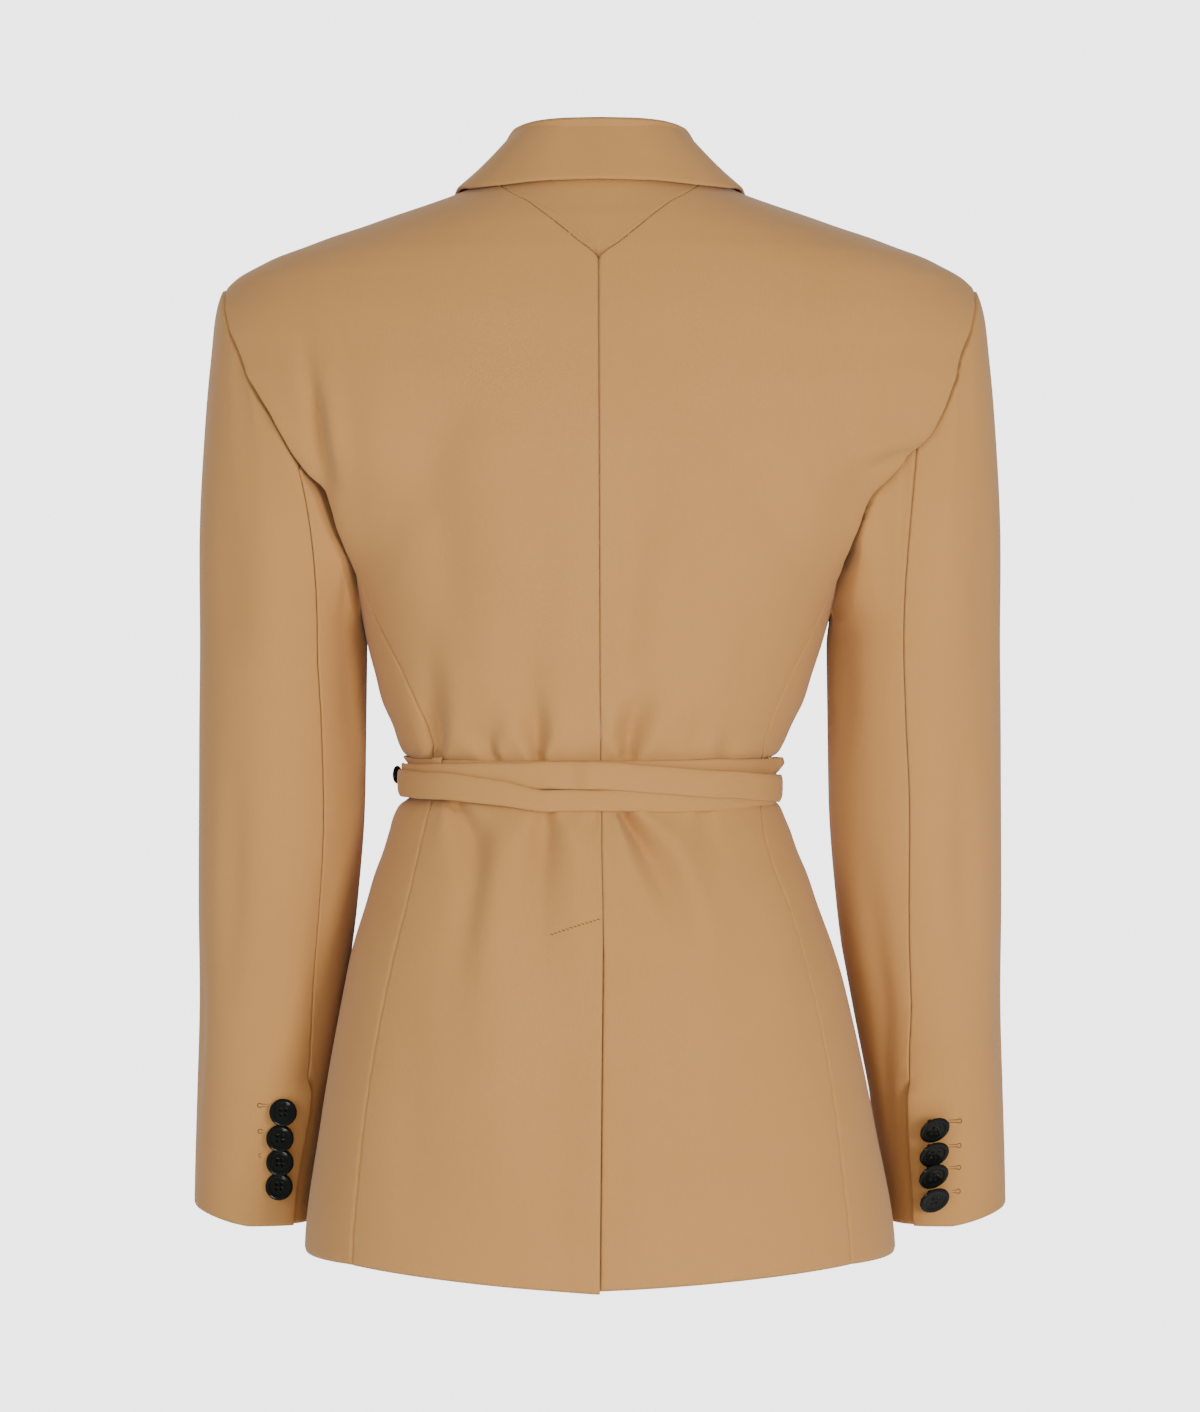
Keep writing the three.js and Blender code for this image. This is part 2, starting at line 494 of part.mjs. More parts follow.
// Lapels: the turned-back tops of the front facings, lying on the fronts.
const LAPEL = { cols: 5, least: 3, notch: 24, notchRows: 6, over: 2.8 };
const LAPEL_ROWS = [-50, -66, -84, -104, -126, -150, -175, -200, -225, -250, -275, -298, -318, -334];
function lapelPoint(side, i, j, out) {
  const row = LAPEL_ROWS[j];
  const share = i / LAPEL.cols;
  const edge = Math.max(lapelX(row), rollX(row) + LAPEL.least);
  const z = row - LAPEL.notch * share * Math.max(0, 1 - j / LAPEL.notchRows);
  const turn = turnAt(side * (rollX(row) + (edge - rollX(row)) * share), z, true);
  return body(turn, z, out + LAPEL.over + overlap(turn, z, side));
}
for (const [side, name] of SIDES) {
  const at = (i, j, out) => lapelPoint(side, i, j, out);
  add("lapel_" + name, sheet(LAPEL.cols, LAPEL_ROWS.length - 1, at, { trim: [0, 0, 2, 0] }));
}

// Belt: one long strap wound three times, each turn its own node.
// turn in degrees, middle height of turns 1 to 3, layer of turns 2 and 3, width of turn 3, which
// crumples a little where it passes turn 2. Turns 2 and 3 rise over the belt loops.
const BELT = [
  [178, -360, -367, -374, 1, 2, 16.4], [120, -359.5, -364.5, -369, 1, 2, 16.4],
  [90, -359.2, -363.7, -367.5, 1.1, 2.1, 16.4], [74, -359.8, -363.6, -367.5, 1.6, 2.6, 16.4],
  [48, -361, -363.2, -368.2, 1.6, 2.6, 16.4], [26, -361.2, -362.4, -372.6, 1, 2, 15],
  [13, -361.2, -361.7, -376.5, 1, 2, 12.8], [8, -361.2, -361.7, -376.5, 1, 1, 12.8],
  [6, -361.2, -361.7, -376.5, 1, 1, 12.8], [0, -361.2, -361.8, -376.5, 2, 1, 12.8],
  [-17, -361, -363.5, -375.8, 2, 1, 15.2], [-31, -360.8, -365.9, -375.2, 2, 1, 16.4],
  [-46, -360.5, -368, -374.4, 2, 1, 16.4], [-62, -360.3, -369.6, -372.4, 2.6, 1.6, 16.4],
  [-82, -360.1, -370.8, -371.6, 2.6, 1.6, 16.4], [-98, -360, -370.8, -371.6, 2, 1, 16.4],
  [-120, -360, -369.5, -372, 2, 1, 16.4], [-178, -360, -367, -374, 2, 1, 16.4],
];
const BELT_SIZE = { wide: 16.4, thick: 2, layer: 2.7, off: 1.6, z: -366, end: 176.5, steps: 50 };
// Past the wearer's sides the turns rise over the lapped fronts.
const BELT_FRONT = { rise: 3.2, from: 128, over: 20 };
const CROSSING = [13, 8, 6, 0]; // degrees at which two turns change places
const CLOSE = 1.2;

// The strap stands straight up all round, on the level cut at the middle of the belt.
function beltSpot(turn, z, out) {
  const away = outward(turn, BELT_SIZE.z).setZ(0).normalize();
  return bare(turn, BELT_SIZE.z).addScaledVector(away, out).setZ(z);
}
const evenDegrees = Array.from(
  { length: BELT_SIZE.steps + 1 },
  (_, k) => -BELT_SIZE.end + (2 * BELT_SIZE.end * k) / BELT_SIZE.steps,
);
const clearOf = (degrees) => CROSSING.every((d) => Math.abs(degrees - d) > CLOSE);
const beltDegrees = [...evenDegrees.filter(clearOf), ...CROSSING].sort((a, b) => a - b);

function beltTurn(number) {
  const middle = curve(BELT, number);
  const layer = number === 1 ? () => 0 : curve(BELT, number + 2);
  const wide = number === 3 ? curve(BELT, 6) : () => BELT_SIZE.wide;
  const at = (i, j, out) => {
    const degrees = beltDegrees[i];
    const over = BELT_FRONT.rise * clamp((Math.abs(degrees) - BELT_FRONT.from) / BELT_FRONT.over);
    const away = out + BELT_SIZE.thick + BELT_SIZE.off + over + BELT_SIZE.layer * layer(degrees);
    return beltSpot(degrees * RAD, middle(degrees) + wide(degrees) * (0.5 - j), away);
  };
  return sheet(beltDegrees.length - 1, 1, at, { wall: BELT_SIZE.thick, trim: [0, 0, 0, 0] });
}
for (const number of [1, 2, 3]) add("belt_turn_" + number, beltTurn(number));

// Belt loops hold the first turn, and the other turns pass over them.
// z, height, and 1 where that height is over the strap's own wall.
const LOOP = [
  [-346.8, 1.8, 0], [-349.2, 2.4, 0.2], [-350.9, 5, 1], [-361, 5.2, 1], [-370.5, 5, 1], [-371.9, 3.6, 0.5],
  [-373.2, 2.4, 0],
];
const LOOP_SPREAD = 0.08; // its width as a turn
const LOOP_WALL = 1.2;
for (const [name, x] of [["left", 95], ["right", -99.5]]) {
  const at = (i, j, out) => {
    const [z, high, free] = LOOP[j];
    const turn = turnAt(x, BELT_SIZE.z) + (i - 0.5) * LOOP_SPREAD;
    return body(turn, z, out + high).lerp(beltSpot(turn, z, out + high), free);
  };
  add("belt_loop_" + name, sheet(1, LOOP.length - 1, at, { wall: LOOP_WALL, trim: [0, 0, 0, 0] }));
}

// Knot at the centre front: a ball with squared sides, thinner where the strap's folds cross it.
const KNOT = { z: -367, wide: 17, high: 21.5, thick: 6.5, y: -107.1, square: 0.72, fold: 0.25, folds: 5 };
function knotGeometry() {
  const ball = new THREE.SphereGeometry(1, 14, 10);
  const place = ball.attributes.position;
  const squared = (c) => Math.sign(c) * Math.abs(c) ** KNOT.square;
  const points = [];
  for (let k = 0; k < place.count; k++) {
    const fold = 1 - KNOT.fold * Math.cos(place.getY(k) * KNOT.folds);
    const x = shift(KNOT.z) + KNOT.wide * squared(place.getX(k));
    const y = KNOT.y + KNOT.thick * squared(place.getZ(k)) * fold;
    points.push(V(x, y, KNOT.z + KNOT.high * squared(place.getY(k))));
  }
  return facingOut(points, [...ball.index.array]);
}
add("belt_knot", knotGeometry());

// Hanging ends of the belt, on the lapped fronts.
const TAIL = { long: 172, top: -393.3, rows: 9, start: 10, apart: 16, off: 4.6, rise: 5, fade: 14, drop: 14 };
function tailPoint(side, i, j, out) {
  const s = j / TAIL.rows;
  const z = TAIL.top - TAIL.long * s - (side > 0 ? 0 : TAIL.drop * s);
  const x = shift(z) + side * (TAIL.start + TAIL.apart * s) + (i - 1) * (BELT_SIZE.wide / 2);
  return body(turnAt(x, z, true), z, out + TAIL.off + TAIL.rise * Math.exp(-s * TAIL.fade) + LAP.lift);
}
for (const [side, name] of SIDES) {
  const at = (i, j, out) => tailPoint(side, i, j, out);
  add("belt_tail_" + name, sheet(2, TAIL.rows, at, { wall: BELT_SIZE.thick, trim: [0, 0, 0, 0] }));
}

// Buttons: turned discs. Profile: share of the radius, share of the thickness, from back to face.
const DISC = [[0.84, 0], [1, 0.4], [1, 0.75], [0.86, 1], [0.7, 0.8]];
const FACE = 0.8; // share of the thickness at the middle of the face
const BUTTON = { around: 16, thread: 1.3 };
function button(radius, thick, centre, look, shank = 0) {
  const stem = [[BUTTON.thread / radius, -shank / thick], [BUTTON.thread / radius, 0]];
  const rings = shank ? [...stem, ...DISC] : DISC;
  const face = look.clone().normalize();
  const level = V(0, 0, 1).cross(face).normalize();
  const up = face.clone().cross(level);
  const point = (r, h, angle) =>
    centre.clone().addScaledVector(level, radius * r * Math.cos(angle))
      .addScaledVector(up, radius * r * Math.sin(angle)).addScaledVector(face, thick * h);
  const points = [point(0, -shank / thick, 0)];
  for (const [r, h] of rings)
    for (let k = 0; k < BUTTON.around; k++) points.push(point(r, h, (2 * Math.PI * k) / BUTTON.around));
  const last = points.push(point(0, FACE, 0)) - 1;
  const id = (ring, k) => 1 + ring * BUTTON.around + (k % BUTTON.around);
  const index = [];
  for (let k = 0; k < BUTTON.around; k++) {
    index.push(0, id(0, k + 1), id(0, k), last, id(rings.length - 1, k), id(rings.length - 1, k + 1));
    for (let r = 0; r < rings.length - 1; r++) {
      index.push(id(r, k), id(r, k + 1), id(r + 1, k + 1));
      index.push(id(r, k), id(r + 1, k + 1), id(r + 1, k));
    }
  }
  return facingOut(points, index);
}

// Cuff buttons: x, z and thread shank of each, their stand-off, and the way the faces look.
const CUFF_BUTTONS = {
  left: {
    spots: [[193.8, -569.3, 4.3], [196, -585.6, 4.1], [196.4, -600.8, 2.8], [197.2, -616, 2]],
    radius: 8.2, away: 6.6, look: V(0, 0.985, 0.17),
  },
  right: {
    spots: [[-204, -578.6, 7.1], [-204, -594, 7], [-204, -607.8, 6.8], [-204.8, -622.8, 6.7]],
    radius: 9, away: 9.6, look: V(-0.33, 0.74, -0.58),
  },
};
const CUFF_BUTTON_THICK = 2.6;
for (const [name, row] of Object.entries(CUFF_BUTTONS))
  row.spots.forEach(([x, z, shank], k) => {
    const q = (Math.abs(x) - armX(z)) / armWide(z);
    const y = armY(z) + armDeep(z) * Math.sqrt(Math.max(0, 1 - q * q));
    const disc = button(row.radius, CUFF_BUTTON_THICK, V(x, y + row.away, z), row.look, shank);
    add(`cuff_button_${name}_${k + 1}`, disc, BLACK);
  });

// Waist button at the wearer's left, on the outer turn of the belt.
const WAIST = { turn: 98 * RAD, z: -362.5, away: 9.5, radius: 5.6, thick: 2.4 };
const waistSpot = beltSpot(WAIST.turn, WAIST.z, WAIST.away);
add("waist_button", button(WAIST.radius, WAIST.thick, waistSpot, outward(WAIST.turn, WAIST.z)), BLACK);

export default root;
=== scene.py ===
# %% [markdown]
# # A tie-waist blazer, filled out with nobody in it
#
# A tailored jacket is a handful of flat cloth pieces that curve because of how they are cut and sewn.
# This lesson gives each piece its own surface. A surface is a function of two numbers, such as "how far
# round" and "how far down", worked out with numpy for a whole grid at once and then handed to Blender.
# The solid model is loaded first, as a frame that never moves, and each cloth surface lies on its solid.

import bpy
import numpy as np
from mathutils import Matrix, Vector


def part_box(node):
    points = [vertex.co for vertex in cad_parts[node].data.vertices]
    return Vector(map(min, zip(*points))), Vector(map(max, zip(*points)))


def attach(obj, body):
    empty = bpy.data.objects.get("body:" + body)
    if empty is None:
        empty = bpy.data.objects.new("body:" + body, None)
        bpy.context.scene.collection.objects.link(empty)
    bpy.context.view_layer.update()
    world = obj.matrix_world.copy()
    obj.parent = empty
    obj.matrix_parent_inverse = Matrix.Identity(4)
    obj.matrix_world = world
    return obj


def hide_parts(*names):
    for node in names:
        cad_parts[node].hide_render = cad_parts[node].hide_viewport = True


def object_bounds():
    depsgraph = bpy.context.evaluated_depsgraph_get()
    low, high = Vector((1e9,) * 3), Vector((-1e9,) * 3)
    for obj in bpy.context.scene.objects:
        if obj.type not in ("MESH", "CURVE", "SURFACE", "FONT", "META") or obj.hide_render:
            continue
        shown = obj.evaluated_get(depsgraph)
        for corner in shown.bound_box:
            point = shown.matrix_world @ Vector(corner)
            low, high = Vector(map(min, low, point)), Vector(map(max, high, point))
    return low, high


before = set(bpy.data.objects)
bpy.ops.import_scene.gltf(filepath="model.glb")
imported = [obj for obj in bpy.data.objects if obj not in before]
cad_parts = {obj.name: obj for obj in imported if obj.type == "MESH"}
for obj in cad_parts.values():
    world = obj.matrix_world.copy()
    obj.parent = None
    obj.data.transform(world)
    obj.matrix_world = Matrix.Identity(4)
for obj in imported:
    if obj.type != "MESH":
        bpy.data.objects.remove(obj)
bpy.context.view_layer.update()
scene = bpy.context.scene
MM = 0.001  # shapes are worked out in millimetres and become metres when the mesh is made
RAD = np.pi / 180

# %% [markdown]
# ## Smooth tables
# A maker knows a jacket by its measurements at a few levels: shoulder, chest, waist, hem. A table holds
# them, and a curve runs smoothly through its rows without overshooting, so the cloth has no bumps that
# the table doesn't have.


# %% A curve through a table
def curve(rows, column):
    """Cubic through the rows; each inner slope is the harmonic mean of its two neighbours' slopes."""
    at = np.array([row[0] for row in rows], float)[::-1]
    value = np.array([row[column] for row in rows], float)[::-1]
    before, after = (np.diff(value) / np.diff(at))[:-1], (np.diff(value) / np.diff(at))[1:]
    same = before * after > 0
    slope = np.zeros(len(at))
    slope[1:-1] = np.where(same, 2 * before * after / np.where(same, before + after, 1), 0)

    def read(x):
        x = np.clip(x, at[0], at[-1])
        i = np.clip(np.searchsorted(at, x, side="right") - 1, 0, len(at) - 2)
        step = at[i + 1] - at[i]
        t = (x - at[i]) / step
        rise = 3 * t**2 - 2 * t**3
        swing = slope[i] * (t**3 - 2 * t**2 + t) + slope[i + 1] * (t**3 - t**2)
        return value[i] * (1 - rise) + value[i + 1] * rise + swing * step

    return read


def smooth(x):
    """0 below 0, 1 above 1, and 3x^2 - 2x^3 between."""
    x = np.clip(x, 0, 1)
    return x * x * (3 - 2 * x)


print("halfway up the step:", smooth(0.5))

# %% Level cuts of the body
# z, half width, sideways shift, depth behind, depth in front, squareness.
LEVELS = [
    (3, 66, 0, 68.5, 39, 2), (-3, 79, 0, 72.5, 43, 2), (-9, 93.5, 0, 76, 48, 2),
    (-15.4, 112, 0, 79, 52, 2), (-21.5, 130.5, 0, 82, 56, 2), (-28, 149, 0, 85.5, 60, 2),
    (-34, 167.5, 0, 88, 64, 2), (-40, 183.5, 0, 90.5, 67, 2), (-46, 200, 0, 93, 70, 2),
    (-52, 212, 0, 95, 73, 2), (-58, 222.6, 0, 97, 76, 2), (-64, 229, 0, 99, 79, 2),
    (-85, 244.5, 0, 105, 87, 2), (-100, 249, 0, 108, 91, 2), (-120, 248.5, 0, 111.5, 95, 2.04),
    (-130, 244.5, 0, 113, 97, 2.07), (-150, 232, 0, 115, 101, 2.12), (-168, 213, 0, 116.3, 104, 2.19),
    (-180, 197.5, 0, 116.3, 107, 2.25), (-193, 181, 0.3, 115.8, 110, 2.31),
    (-218, 165, 1, 113.5, 113, 2.38), (-240, 153, 1.6, 111, 114, 2.4), (-262, 145, 2.4, 107, 112, 2.4),
    (-286, 138.5, 3.4, 102.5, 108, 2.4), (-301, 134, 3.9, 99.5, 105, 2.4),
    (-317, 129.5, 4.4, 96, 101, 2.4), (-332, 122.5, 4.8, 92.5, 97, 2.4),
    (-344, 117.8, 5.5, 89.5, 93, 2.4), (-349.4, 114.6, 5.7, 87.4, 90, 2.4),
    (-353, 109.2, 5.9, 86.2, 88.2, 2.4), (-357, 108.6, 5.9, 86, 88, 2.4), (-370, 108.6, 6, 86, 88, 2.4),
    (-376.5, 111, 6.3, 86.8, 89, 2.4), (-381, 116.6, 6.6, 88.8, 91, 2.4),
    (-389, 120.4, 6.8, 91, 93.4, 2.4), (-396, 122.8, 6.3, 93.4, 95.8, 2.4), (-409, 127, 6, 97, 99, 2.4),
    (-424, 133, 5.6, 101, 102, 2.4), (-440, 138, 5.2, 105, 105, 2.4), (-470, 148, 4.3, 110.5, 110, 2.4),
    (-490, 153, 3.4, 114, 112, 2.42), (-574, 169.5, 1.6, 124, 118, 2.46), (-657, 181, 0, 132, 121, 2.5),
]
half_width, shift, behind, ahead, square = (curve(LEVELS, column) for column in range(1, 6))
print("levels:", len(LEVELS), "waist across, mm:", round(float(2 * half_width(-366))))

# %% [markdown]
# ## The figure inside the cloth
# Every level cut is a rounded oval that is squarer at the waist than at the shoulders. "turn" says how
# far round it a point is: 0 at the centre back, 90 degrees at the wearer's left, 180 at the centre front.


# %% Points of the body cloth
def bare(turn, z):
    """x = shift + a sin/r, y = b cos/r, where r = (|sin|^n + |cos|^n)^(1/n).

    Each level has its own half width a, depth b and squareness n.
    """
    turn, z = np.broadcast_arrays(np.asarray(turn, float), np.asarray(z, float))
    n, s, c = square(z), np.sin(turn), np.cos(turn)
    r = (np.abs(s) ** n + np.abs(c) ** n) ** (-1 / n)
    depth = np.where(c > 0, behind(z), ahead(z))
    return np.stack([shift(z) + half_width(z) * s * r, depth * c * r, z], -1)


def unit(v):
    """The vector divided by its length."""
    return v / np.maximum(np.linalg.norm(v, axis=-1, keepdims=True), 1e-9)


def outward(turn, z):
    """Across the surface: the way round crossed with the way down."""
    around = bare(turn + 0.01, z) - bare(turn - 0.01, z)
    down = bare(turn, z - 0.5) - bare(turn, z + 0.5)
    return unit(np.cross(around, down))


def turn_at(x, z, front=False):
    """The turn whose point has this x, on the back or the front half."""
    q, n = np.clip((x - shift(z)) / half_width(z), -1, 1), square(z)
    c = (1 - np.abs(q) ** n) ** (1 / n)
    return np.arctan2(q, -c if front else c)


print("behind the waist, mm:", bare(0, -366).round(1))

# %% [markdown]
# ## Folds
# A belt gathers cloth into hollows that start narrow and open out, and hanging cloth bends in long soft
# folds. Sculpting them by hand would be quick but could not be read again. Here each one is a row of a
# table, and a bump formula adds it to the surface.

# %% Folds of the body
# x, z, lean in degrees, half length, half width, height (below 0 in a hollow).
BACK_FOLDS = [
    (99, -338, 12, 16, 5, -3), (64, -336, -8, 15, 6, -3), (37, -334, 5, 15, 6, -2.6),
    (-20, -330, -28, 22, 7, -3.6), (-60, -334, -12, 15, 7, -2.4), (80, -398, 14, 17, 7, -3),
    (33, -402, 4, 20, 7, -2.8), (-24, -404, 24, 22, 7, -3.2), (-66, -400, -10, 17, 7, -2.4),
    (169, -154, 9, 34, 5, -7), (156, -166, 9, 40, 7, 3.5), (-178, -171, -68, 15, 2.4, -3.4),
    (-174, -163, -68, 20, 5, 2.4), (78, -300, 12, 34, 14, 2.4), (-70, -300, -10, 34, 14, 2.2),
    (110, -190, -30, 60, 16, -2.6), (-104, -205, 32, 60, 16, -2.4), (60, -520, 2, 90, 20, 2.6),
    (-62, -530, -2, 90, 20, 2.4),
]
FRONT_FOLDS = [
    (80, -334, -10, 16, 7, -3), (44, -332, 8, 15, 7, -2.6), (-48, -334, -8, 16, 7, -3),
    (-84, -332, 10, 15, 7, -2.6), (70, -402, 8, 18, 8, -3), (-72, -402, -8, 18, 8, -2.8),
    (100, -500, 2, 90, 20, 2.4), (-100, -500, -2, 90, 20, 2.4),
]
BELT_LEVEL, BELT_REACH = -367, 22
# Softer folds that hang between the strong ones, in the same columns.
SOFT_BACK = [
    (76, -425, -8, 46, 9, -4), (62, -436, -6, 50, 10, 2.6), (36, -425, 3, 44, 8, -3.8),
    (14, -430, 2, 45, 8, 2.4), (-40, -430, 24, 30, 8, -3), (-52, -420, 24, 26, 7, 2),
    (-60, -450, 5, 50, 14, 2), (101, -322, 3, 30, 7, -2.4), (86, -320, 4, 30, 9, 2.6),
    (40, -325, 4, 30, 8, -3), (64, -300, 4, 40, 12, 1.6), (62, -190, 6, 70, 18, 2.4),
    (94, -225, 8, 70, 14, -3), (-16, -272, -6, 80, 12, -3.4), (18, -270, -4, 80, 13, 2),
    (-45, -240, -10, 60, 14, 1.8), (-6, -335, -20, 18, 5, 1.2), (136, -165, -6, 40, 14, 2.2),
    (-148, -170, 24, 30, 7, -1.6), (-138, -152, 30, 24, 6, 1.4), (-110, -470, -4, 60, 14, 1.6),
    (112, -560, 3, 60, 14, -1.6), (-24, -590, 0, 60, 12, 1.4), (24, -600, 0, 50, 12, -1.2),
]
SOFT_FRONT = [
    (96, -430, -10, 45, 10, -2.2), (60, -440, -4, 50, 12, 1.8), (-58, -440, 6, 50, 12, 1.8),
    (-92, -428, 10, 44, 10, -2.2), (110, -250, 12, 60, 14, -2), (-112, -255, -10, 60, 14, -2),
    (130, -180, -20, 40, 10, -2.4), (-132, -176, 22, 40, 10, -2.4), (84, -300, 6, 40, 10, 1.8),
    (-86, -298, -8, 40, 10, 1.8),
]
# Pinches where the belt gathers the cloth: x, z, lean, length, half width at the belt, depth.
PINCH_BACK = [
    (99, -350, 2, 34, 4.4, 4), (64, -351, 30, 20, 3.4, 4), (37, -351, 6, 20, 3.4, 6.5),
    (-17, -350, -12, 34, 5, 7), (-74, -350, -18, 16, 4.4, 2.4), (86, -380, 24, 26, 5, 5),
    (33, -385, 3, 26, 5.4, 5), (-15, -385, 36, 36, 3.8, 9), (-62, -384, -12, 18, 4.6, 2.4),
    (4, -386, 0, 16, 4, 1.6),
]
PINCH_FRONT = [
    (92, -350, 10, 24, 4.4, 3.6), (58, -350, -12, 20, 4.2, 3), (-54, -350, 14, 22, 4.4, 3.4),
    (-88, -350, -8, 22, 4.4, 3.2), (86, -384, 14, 24, 5, 3.2), (50, -385, -8, 20, 5, 2.6),
    (-56, -385, 10, 22, 5, 3), (-90, -384, -14, 24, 5, 3),
]

print("strong folds:", len(BACK_FOLDS + FRONT_FOLDS), "pinches:", len(PINCH_BACK + PINCH_FRONT))


# %% Folds and pinches as heights
def folds_of(table, x, z):
    """Sum of long soft bumps, each height * exp(-(along/long)^2 - (across/wide)^2)."""
    total = np.zeros(np.broadcast(x, z).shape)
    for fx, fz, lean, long, wide, high in table:
        c, s = np.cos(lean * RAD), np.sin(lean * RAD)
        along, across = ((z - fz) * c + (x - fx) * s) / long, ((x - fx) * c - (z - fz) * s) / wide
        total += high * np.exp(-(along**2) - across**2)
    return total


def pinches_of(table, x, z):
    """Hollows that start narrow at the belt and open out, each with a soft lip on both sides.

    Height is -deep * exp(-(far/long)^2) * (1 - 0.7 u^2) * exp(-u^2 / 1.7), with u = across / width and a
    width that grows with the distance far from the belt.
    """
    total = np.zeros(np.broadcast(x, z).shape)
    for px, pz, lean, long, wide, deep in table:
        c, s = np.cos(lean * RAD), np.sin(lean * RAD)
        far = ((z - pz) * c + (x - px) * s) * np.sign(pz - BELT_LEVEL)
        u = ((x - px) * c - (z - pz) * s) / (wide * (1 + 1.5 * np.clip(far / long, 0, 2)))
        fade = np.exp(-((np.maximum(far, 0) / long) ** 2)) * smooth(1 + far / 7)
        total -= deep * fade * (1 - 0.7 * u**2) * np.exp(-(u**2) / 1.7)
    return total


def body(turn, z, out=0.0):
    """The level cut moved out along its normal by a height and the folds, which the belt presses flat."""
    p = bare(turn, z)
    x, front = p[..., 0], np.cos(turn) < 0
    calm = 1 - np.exp(-(((p[..., 2] - BELT_LEVEL) / BELT_REACH) ** 4))
    side = np.minimum(1, np.abs(np.cos(turn)) * 4)
    folds = np.where(front, folds_of(FRONT_FOLDS + SOFT_FRONT, x, z), folds_of(BACK_FOLDS + SOFT_BACK, x, z))
    pinches = np.where(front, pinches_of(PINCH_FRONT, x, z), pinches_of(PINCH_BACK, x, z))
    return p + outward(turn, z) * (out + side * (calm * folds + pinches))[..., None]


print("behind the waist with its folds, mm:", body(0, BELT_LEVEL).round(1))

# %% [markdown]
# ## From a grid to a piece of cloth
# Cut cloth has two things a plain surface lacks: a turned edge that rolls inwards where it is sewn, and
# a thickness. The roll is a quarter of an oval, worked out from each point's distance to the edge along
# its own row or column. The thickness is a Solidify modifier, which moves a copy of the surface inwards.

# %% Sewn edges
CLOTH = 1.8  # wall of the cloth with what is turned under it
SEAM_ROLL, SEAM_DEEP = 1.5, 1.2
EDGE_ROLL, EDGE_DEEP = 1.3, 0.7
PUCKER, PUCKER_LONG, PUCKER_FADE = 0.16, 2.9, 6.0
TUCK_LONG, TUCK_DEEP = 7, 2.6
SIDES = ((1, "left"), (-1, "right"))


def spread(count, crowd=0.8):
    """count + 1 numbers from 0 to 1, closer together at both ends."""
    t = np.linspace(0, 1, count + 1)
    return (1 - crowd) * t + crowd * smooth(t)


def arc(grid, axis):
    """Length run along each row (axis 1) or column (axis 0), starting at 0."""
    step = np.linalg.norm(np.diff(grid, axis=axis), axis=-1)
    start = np.zeros_like(np.take(step, [0], axis=axis))
    return np.cumsum(np.concatenate([start, step], axis=axis), axis=axis)


def face_way(grid):
    """Normal at each grid point from its neighbours."""
    across, down = np.gradient(grid, axis=1), np.gradient(grid, axis=0)
    return unit(np.cross(across, down))


def sew_edges(grid, normal, edges):
    """Each edge dips by deep * (1 - sqrt(1 - near^2)), where near = 1 - distance/roll.

    edges says of the grid's left, right, top and bottom whether it is a "seam", an "edge" or None. A seam
    also puckers by high * sin(length/long) * exp(-distance/fade).
    """
    out = grid.copy()
    across, down = arc(grid, 1), arc(grid, 0)
    far = {"left": across, "right": across[:, -1:] - across, "top": down, "bottom": down[-1:] - down}
    for side, kind in edges.items():
        if kind:
            roll, deep = (SEAM_ROLL, SEAM_DEEP) if kind == "seam" else (EDGE_ROLL, EDGE_DEEP)
            near = np.clip(1 - far[side] / roll, 0, 1)
            length = down if side in ("left", "right") else across
            wave = PUCKER * np.sin(length / PUCKER_LONG) if kind == "seam" else 0.0
            pucker = wave * np.exp(-far[side] / PUCKER_FADE)
            out = out - normal * (deep * (1 - np.sqrt(1 - near**2)) + pucker)[..., None]
    return out


print("a seam dips, mm:", SEAM_DEEP)

# %% From a grid to a mesh
pieces, cuts = [], {}


def mesh_piece(name, grid, material, nodes, closed=False):
    """One quad per grid cell, and closed joins the last column to the first.

    The UV map is the length run along the cloth, in metres.
    """
    rows, columns = grid.shape[:2]
    i = np.arange(rows - 1)[:, None] * columns + np.arange(columns if closed else columns - 1)[None, :]
    right = i + 1 if not closed else np.where((i % columns) == columns - 1, i + 1 - columns, i + 1)
    quads = np.stack([i, i + columns, right + columns, right], -1).reshape(-1, 4)
    mesh = bpy.data.meshes.new(name)
    mesh.from_pydata((grid.reshape(-1, 3) * MM).tolist(), [], quads.tolist())
    layer = mesh.uv_layers.new(name="cloth")
    lengths = np.stack([arc(grid, 1), arc(grid, 0)], -1).reshape(-1, 2) * MM
    layer.data.foreach_set("uv", lengths[quads.ravel()].astype(np.float32).ravel())
    mesh.polygons.foreach_set("use_smooth", np.ones(len(quads), bool))
    piece = bpy.data.objects.new(name, mesh)
    scene.collection.objects.link(piece)
    mesh.materials.append(material)
    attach(piece, "root")
    if nodes:
        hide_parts(*nodes)
    pieces.append(piece)
    return piece


def tuck_under(grid, normal):
    """A seam allowance past both side edges of a grid: edge + long * way out - deep * normal."""
    first = grid[:, :1] + unit(grid[:, :1] - grid[:, 1:2]) * TUCK_LONG - normal[:, :1] * TUCK_DEEP
    last = grid[:, -1:] + unit(grid[:, -1:] - grid[:, -2:-1]) * TUCK_LONG - normal[:, -1:] * TUCK_DEEP
    return np.concatenate([first, grid, last], 1)


